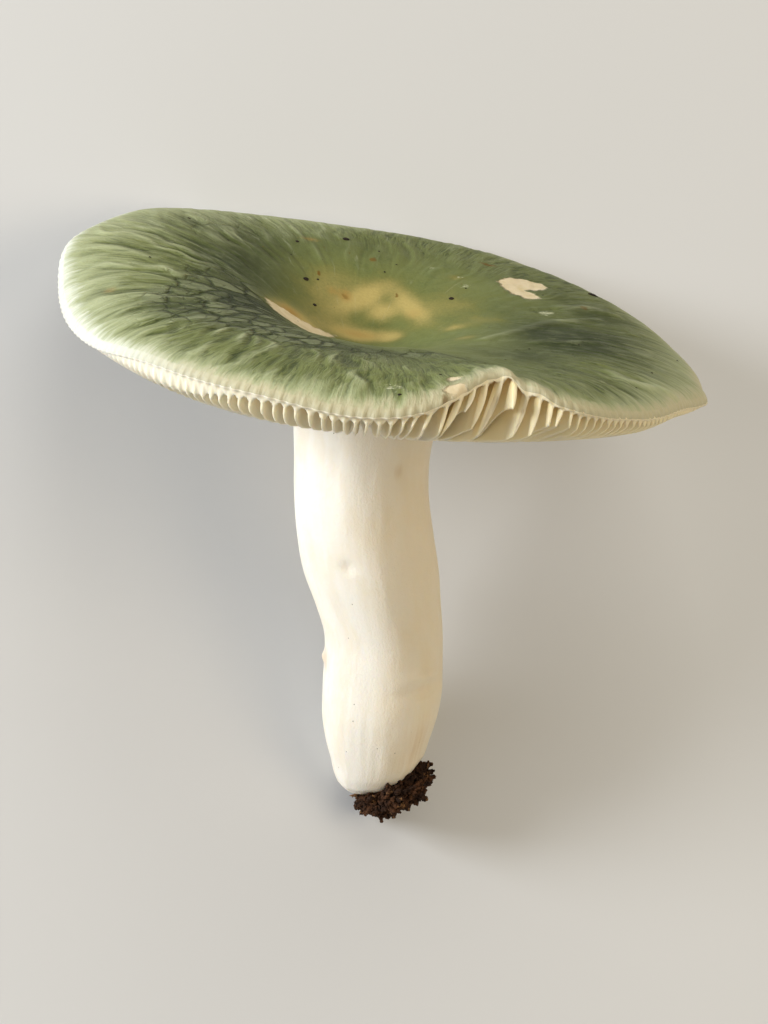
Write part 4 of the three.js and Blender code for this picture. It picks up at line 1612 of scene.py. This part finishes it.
@dataclass
class Specks:
    """Grains of dark litter stuck to the cap: place in the plane of the edge, and half sizes."""

    form: CapForm
    cap: Cap
    grains: tuple[tuple[float, float, float, float], ...] = (
        (-6.6, 28.0, 0.42, 0.34), (-11.4, 16.2, 0.33, 0.3), (8.1, 16.3, 0.3, 0.26), (-13.2, 24.7, 0.2, 0.2),
        (-9.8, 11.9, 0.26, 0.22), (27.9, 27.5, 0.75, 0.36), (-9.8, 17.0, 0.16, 0.14), (-13.8, 20.9, 0.12, 0.1),
        (0.5, 24.0, 0.14, 0.12), (0.3, -40.0, 0.2, 0.17), (-1.0, 21.6, 0.14, 0.14), (-22.4, 18.8, 0.16, 0.14),
        (10.0, 19.5, 0.12, 0.1), (24.0, -2.0, 0.16, 0.15), (17.5, -6.0, 0.15, 0.14), (33.0, -9.0, 0.16, 0.15),
        (-28.0, 24.0, 0.2, 0.16), (20.5, 20.6, 0.15, 0.12), (38.0, 6.0, 0.18, 0.16), (-2.0, 26.5, 0.12, 0.12),
        (5.0, -34.0, 0.14, 0.12), (30.0, -20.0, 0.14, 0.12), (-32.0, 6.0, 0.12, 0.1), (14.0, -14.5, 0.13, 0.12),
    )
    thickness: float = 0.5
    scale: float = 1.2

    def build(self, lying: Lying) -> bpy.types.Object:
        """Makes the grains and dresses them."""
        spots = np.array(self.grains)
        share, angle = self.find(spots[:, 0], spots[:, 1])
        points = lying.settle(self.at(share, angle))
        step = 0.004
        along = self.at(share + step, angle) - self.at(share, angle)
        around = self.at(share, angle + step) - self.at(share, angle)
        up = lying.direction(np.cross(along, around))
        up /= np.linalg.norm(up, axis=1, keepdims=True)
        mesh = bpy.data.meshes.new("litter_specks")
        mesh.from_pydata(points.tolist(), [], [])
        size = np.stack((spots[:, 2], spots[:, 3], spots[:, 3] * self.thickness), -1) * self.scale * MM
        mesh.attributes.new(Place.HANG.value, "FLOAT_VECTOR", "POINT").data.foreach_set("vector", size.ravel())
        mesh.attributes.new(Place.PLAN.value, "FLOAT_VECTOR", "POINT").data.foreach_set("vector", up.ravel())
        made = piece(mesh)
        litter = PlainFinish("litter", colour(20, 16, 10), colour(44, 32, 18), 3000.0, 0.8).material()
        tree = SpeckTree()
        grown_by(made, tree.group(litter), {"Fineness": tree.fineness})
        dress(made, FLESH_SLOT, "mushroom")
        return made

    def at(self, share: np.ndarray, angle: np.ndarray) -> np.ndarray:
        """Points of the skin, relief included."""
        x, y = self.form.across(share, angle)
        return self.form.point(x, y, self.form.top(share, angle) + self.cap.relief(share, angle)[0])

    def find(self, x: np.ndarray, y: np.ndarray) -> tuple[np.ndarray, np.ndarray]:
        """Share and angle of places in the plane of the edge."""
        share = np.zeros_like(x)
        for _ in range(30):
            shift = self.form.stem_offset * (1 - share) ** 2
            angle = np.arctan2(y, x - shift)
            share = np.hypot(x - shift, y) / self.form.edge_radius(angle)
        return share, angle


@dataclass
class Studio:
    """Plain pale table, soft light from the left and the camera at the photo's angle to the mushroom."""

    look_at: tuple[float, float, float] = (0.0, 0.0, 38.2)
    look_down: float = 18.0
    distance: float = 440.0
    lens: float = 118.34

    def camera(self, lying: Lying) -> bpy.types.Object:
        """Sets the camera in the mushroom's own upright frame, and lays it down with it."""
        down = math.radians(self.look_down)
        right = np.array((1.0, 0.0, 0.0))
        up = np.array((0.0, math.sin(down), math.cos(down)))
        back = np.array((0.0, -math.cos(down), math.sin(down)))
        spot = lying.settle(np.array(self.look_at) + back * self.distance, press=False)
        turned = lying.rotation() @ np.stack((right, up, back), 1)
        data = bpy.data.cameras.new("camera")
        data.lens = self.lens
        data.sensor_width = 36.0
        data.clip_start = 0.01
        made = bpy.data.objects.new("camera", data)
        made.matrix_world = Matrix.Translation(Vector(spot)) @ Matrix(turned.tolist()).to_4x4()
        bpy.context.scene.collection.objects.link(made)
        bpy.context.scene.camera = made
        return made

    def light(self, name: str, place: tuple[float, float, float], size: float, watts: float, tint: Colour) -> None:
        """A square soft light that faces the mushroom's middle."""
        data = bpy.data.lights.new(name, "AREA")
        data.shape = "SQUARE"
        data.size = size
        data.energy = watts
        data.color = tint
        made = bpy.data.objects.new(name, data)
        made.location = place
        made.rotation_euler = (Vector((0, 0, 0.03)) - Vector(place)).to_track_quat("-Z", "Y").to_euler()
        bpy.context.scene.collection.objects.link(made)

    def build(self, lying: Lying) -> None:
        """Sets up the table, the lights and the camera."""
        mesh = bpy.data.meshes.new("table")
        half = 3.0
        mesh.from_pydata([(-half, -half, 0), (half, -half, 0), (half, half, 0), (-half, half, 0)], [], [(0, 1, 2, 3)])
        table = piece(mesh, PlainFinish("table", colour(205, 206, 208), colour(209, 210, 212), 3.0, 0.8).material())
        world = bpy.data.worlds.new("studio")
        bpy.context.scene.world = world
        world.use_nodes = True
        world.node_tree.nodes["Background"].inputs["Color"].default_value = (1.0, 0.94, 0.82, 1.0)
        world.node_tree.nodes["Background"].inputs["Strength"].default_value = 0.26
        self.light("key", (-0.62, 0.12, 0.22), 0.22, 5.0, (0.96, 0.98, 1.0))
        self.light("back_fill", (0.05, 0.5, 0.6), 0.5, 2.0, (1.0, 0.96, 0.86))
        self.light("right_fill", (0.45, -0.1, 0.6), 0.5, 2.2, (1.0, 0.86, 0.64))
        self.light("front_fill", (-0.2, -0.55, 0.14), 0.35, 0.28, (0.95, 0.97, 1.0))
        bpy.context.scene.view_settings.view_transform = "Standard"
        self.camera(lying)


def main() -> None:
    """Builds the mushroom piece by piece, then the studio round it."""
    logging.basicConfig(level=logging.INFO, format="%(message)s")
    form, row, lying = CapForm(), GillRow(), Lying()
    cap = Cap(form, row)
    lying.fit(np.concatenate([ring.points for ring in cap.skin().rings]))
    LOG.info("offset on the table, mm: %s", (lying.offset / MM).round(3))
    for part in (cap, Gills(form, row), Stem(), Soil(), Specks(form, cap)):
        made = part.build(lying)
        LOG.info("%s: %d faces", made.name, len(made.data.polygons))
    Studio().build(lying)


if __name__ == "__main__":
    main()
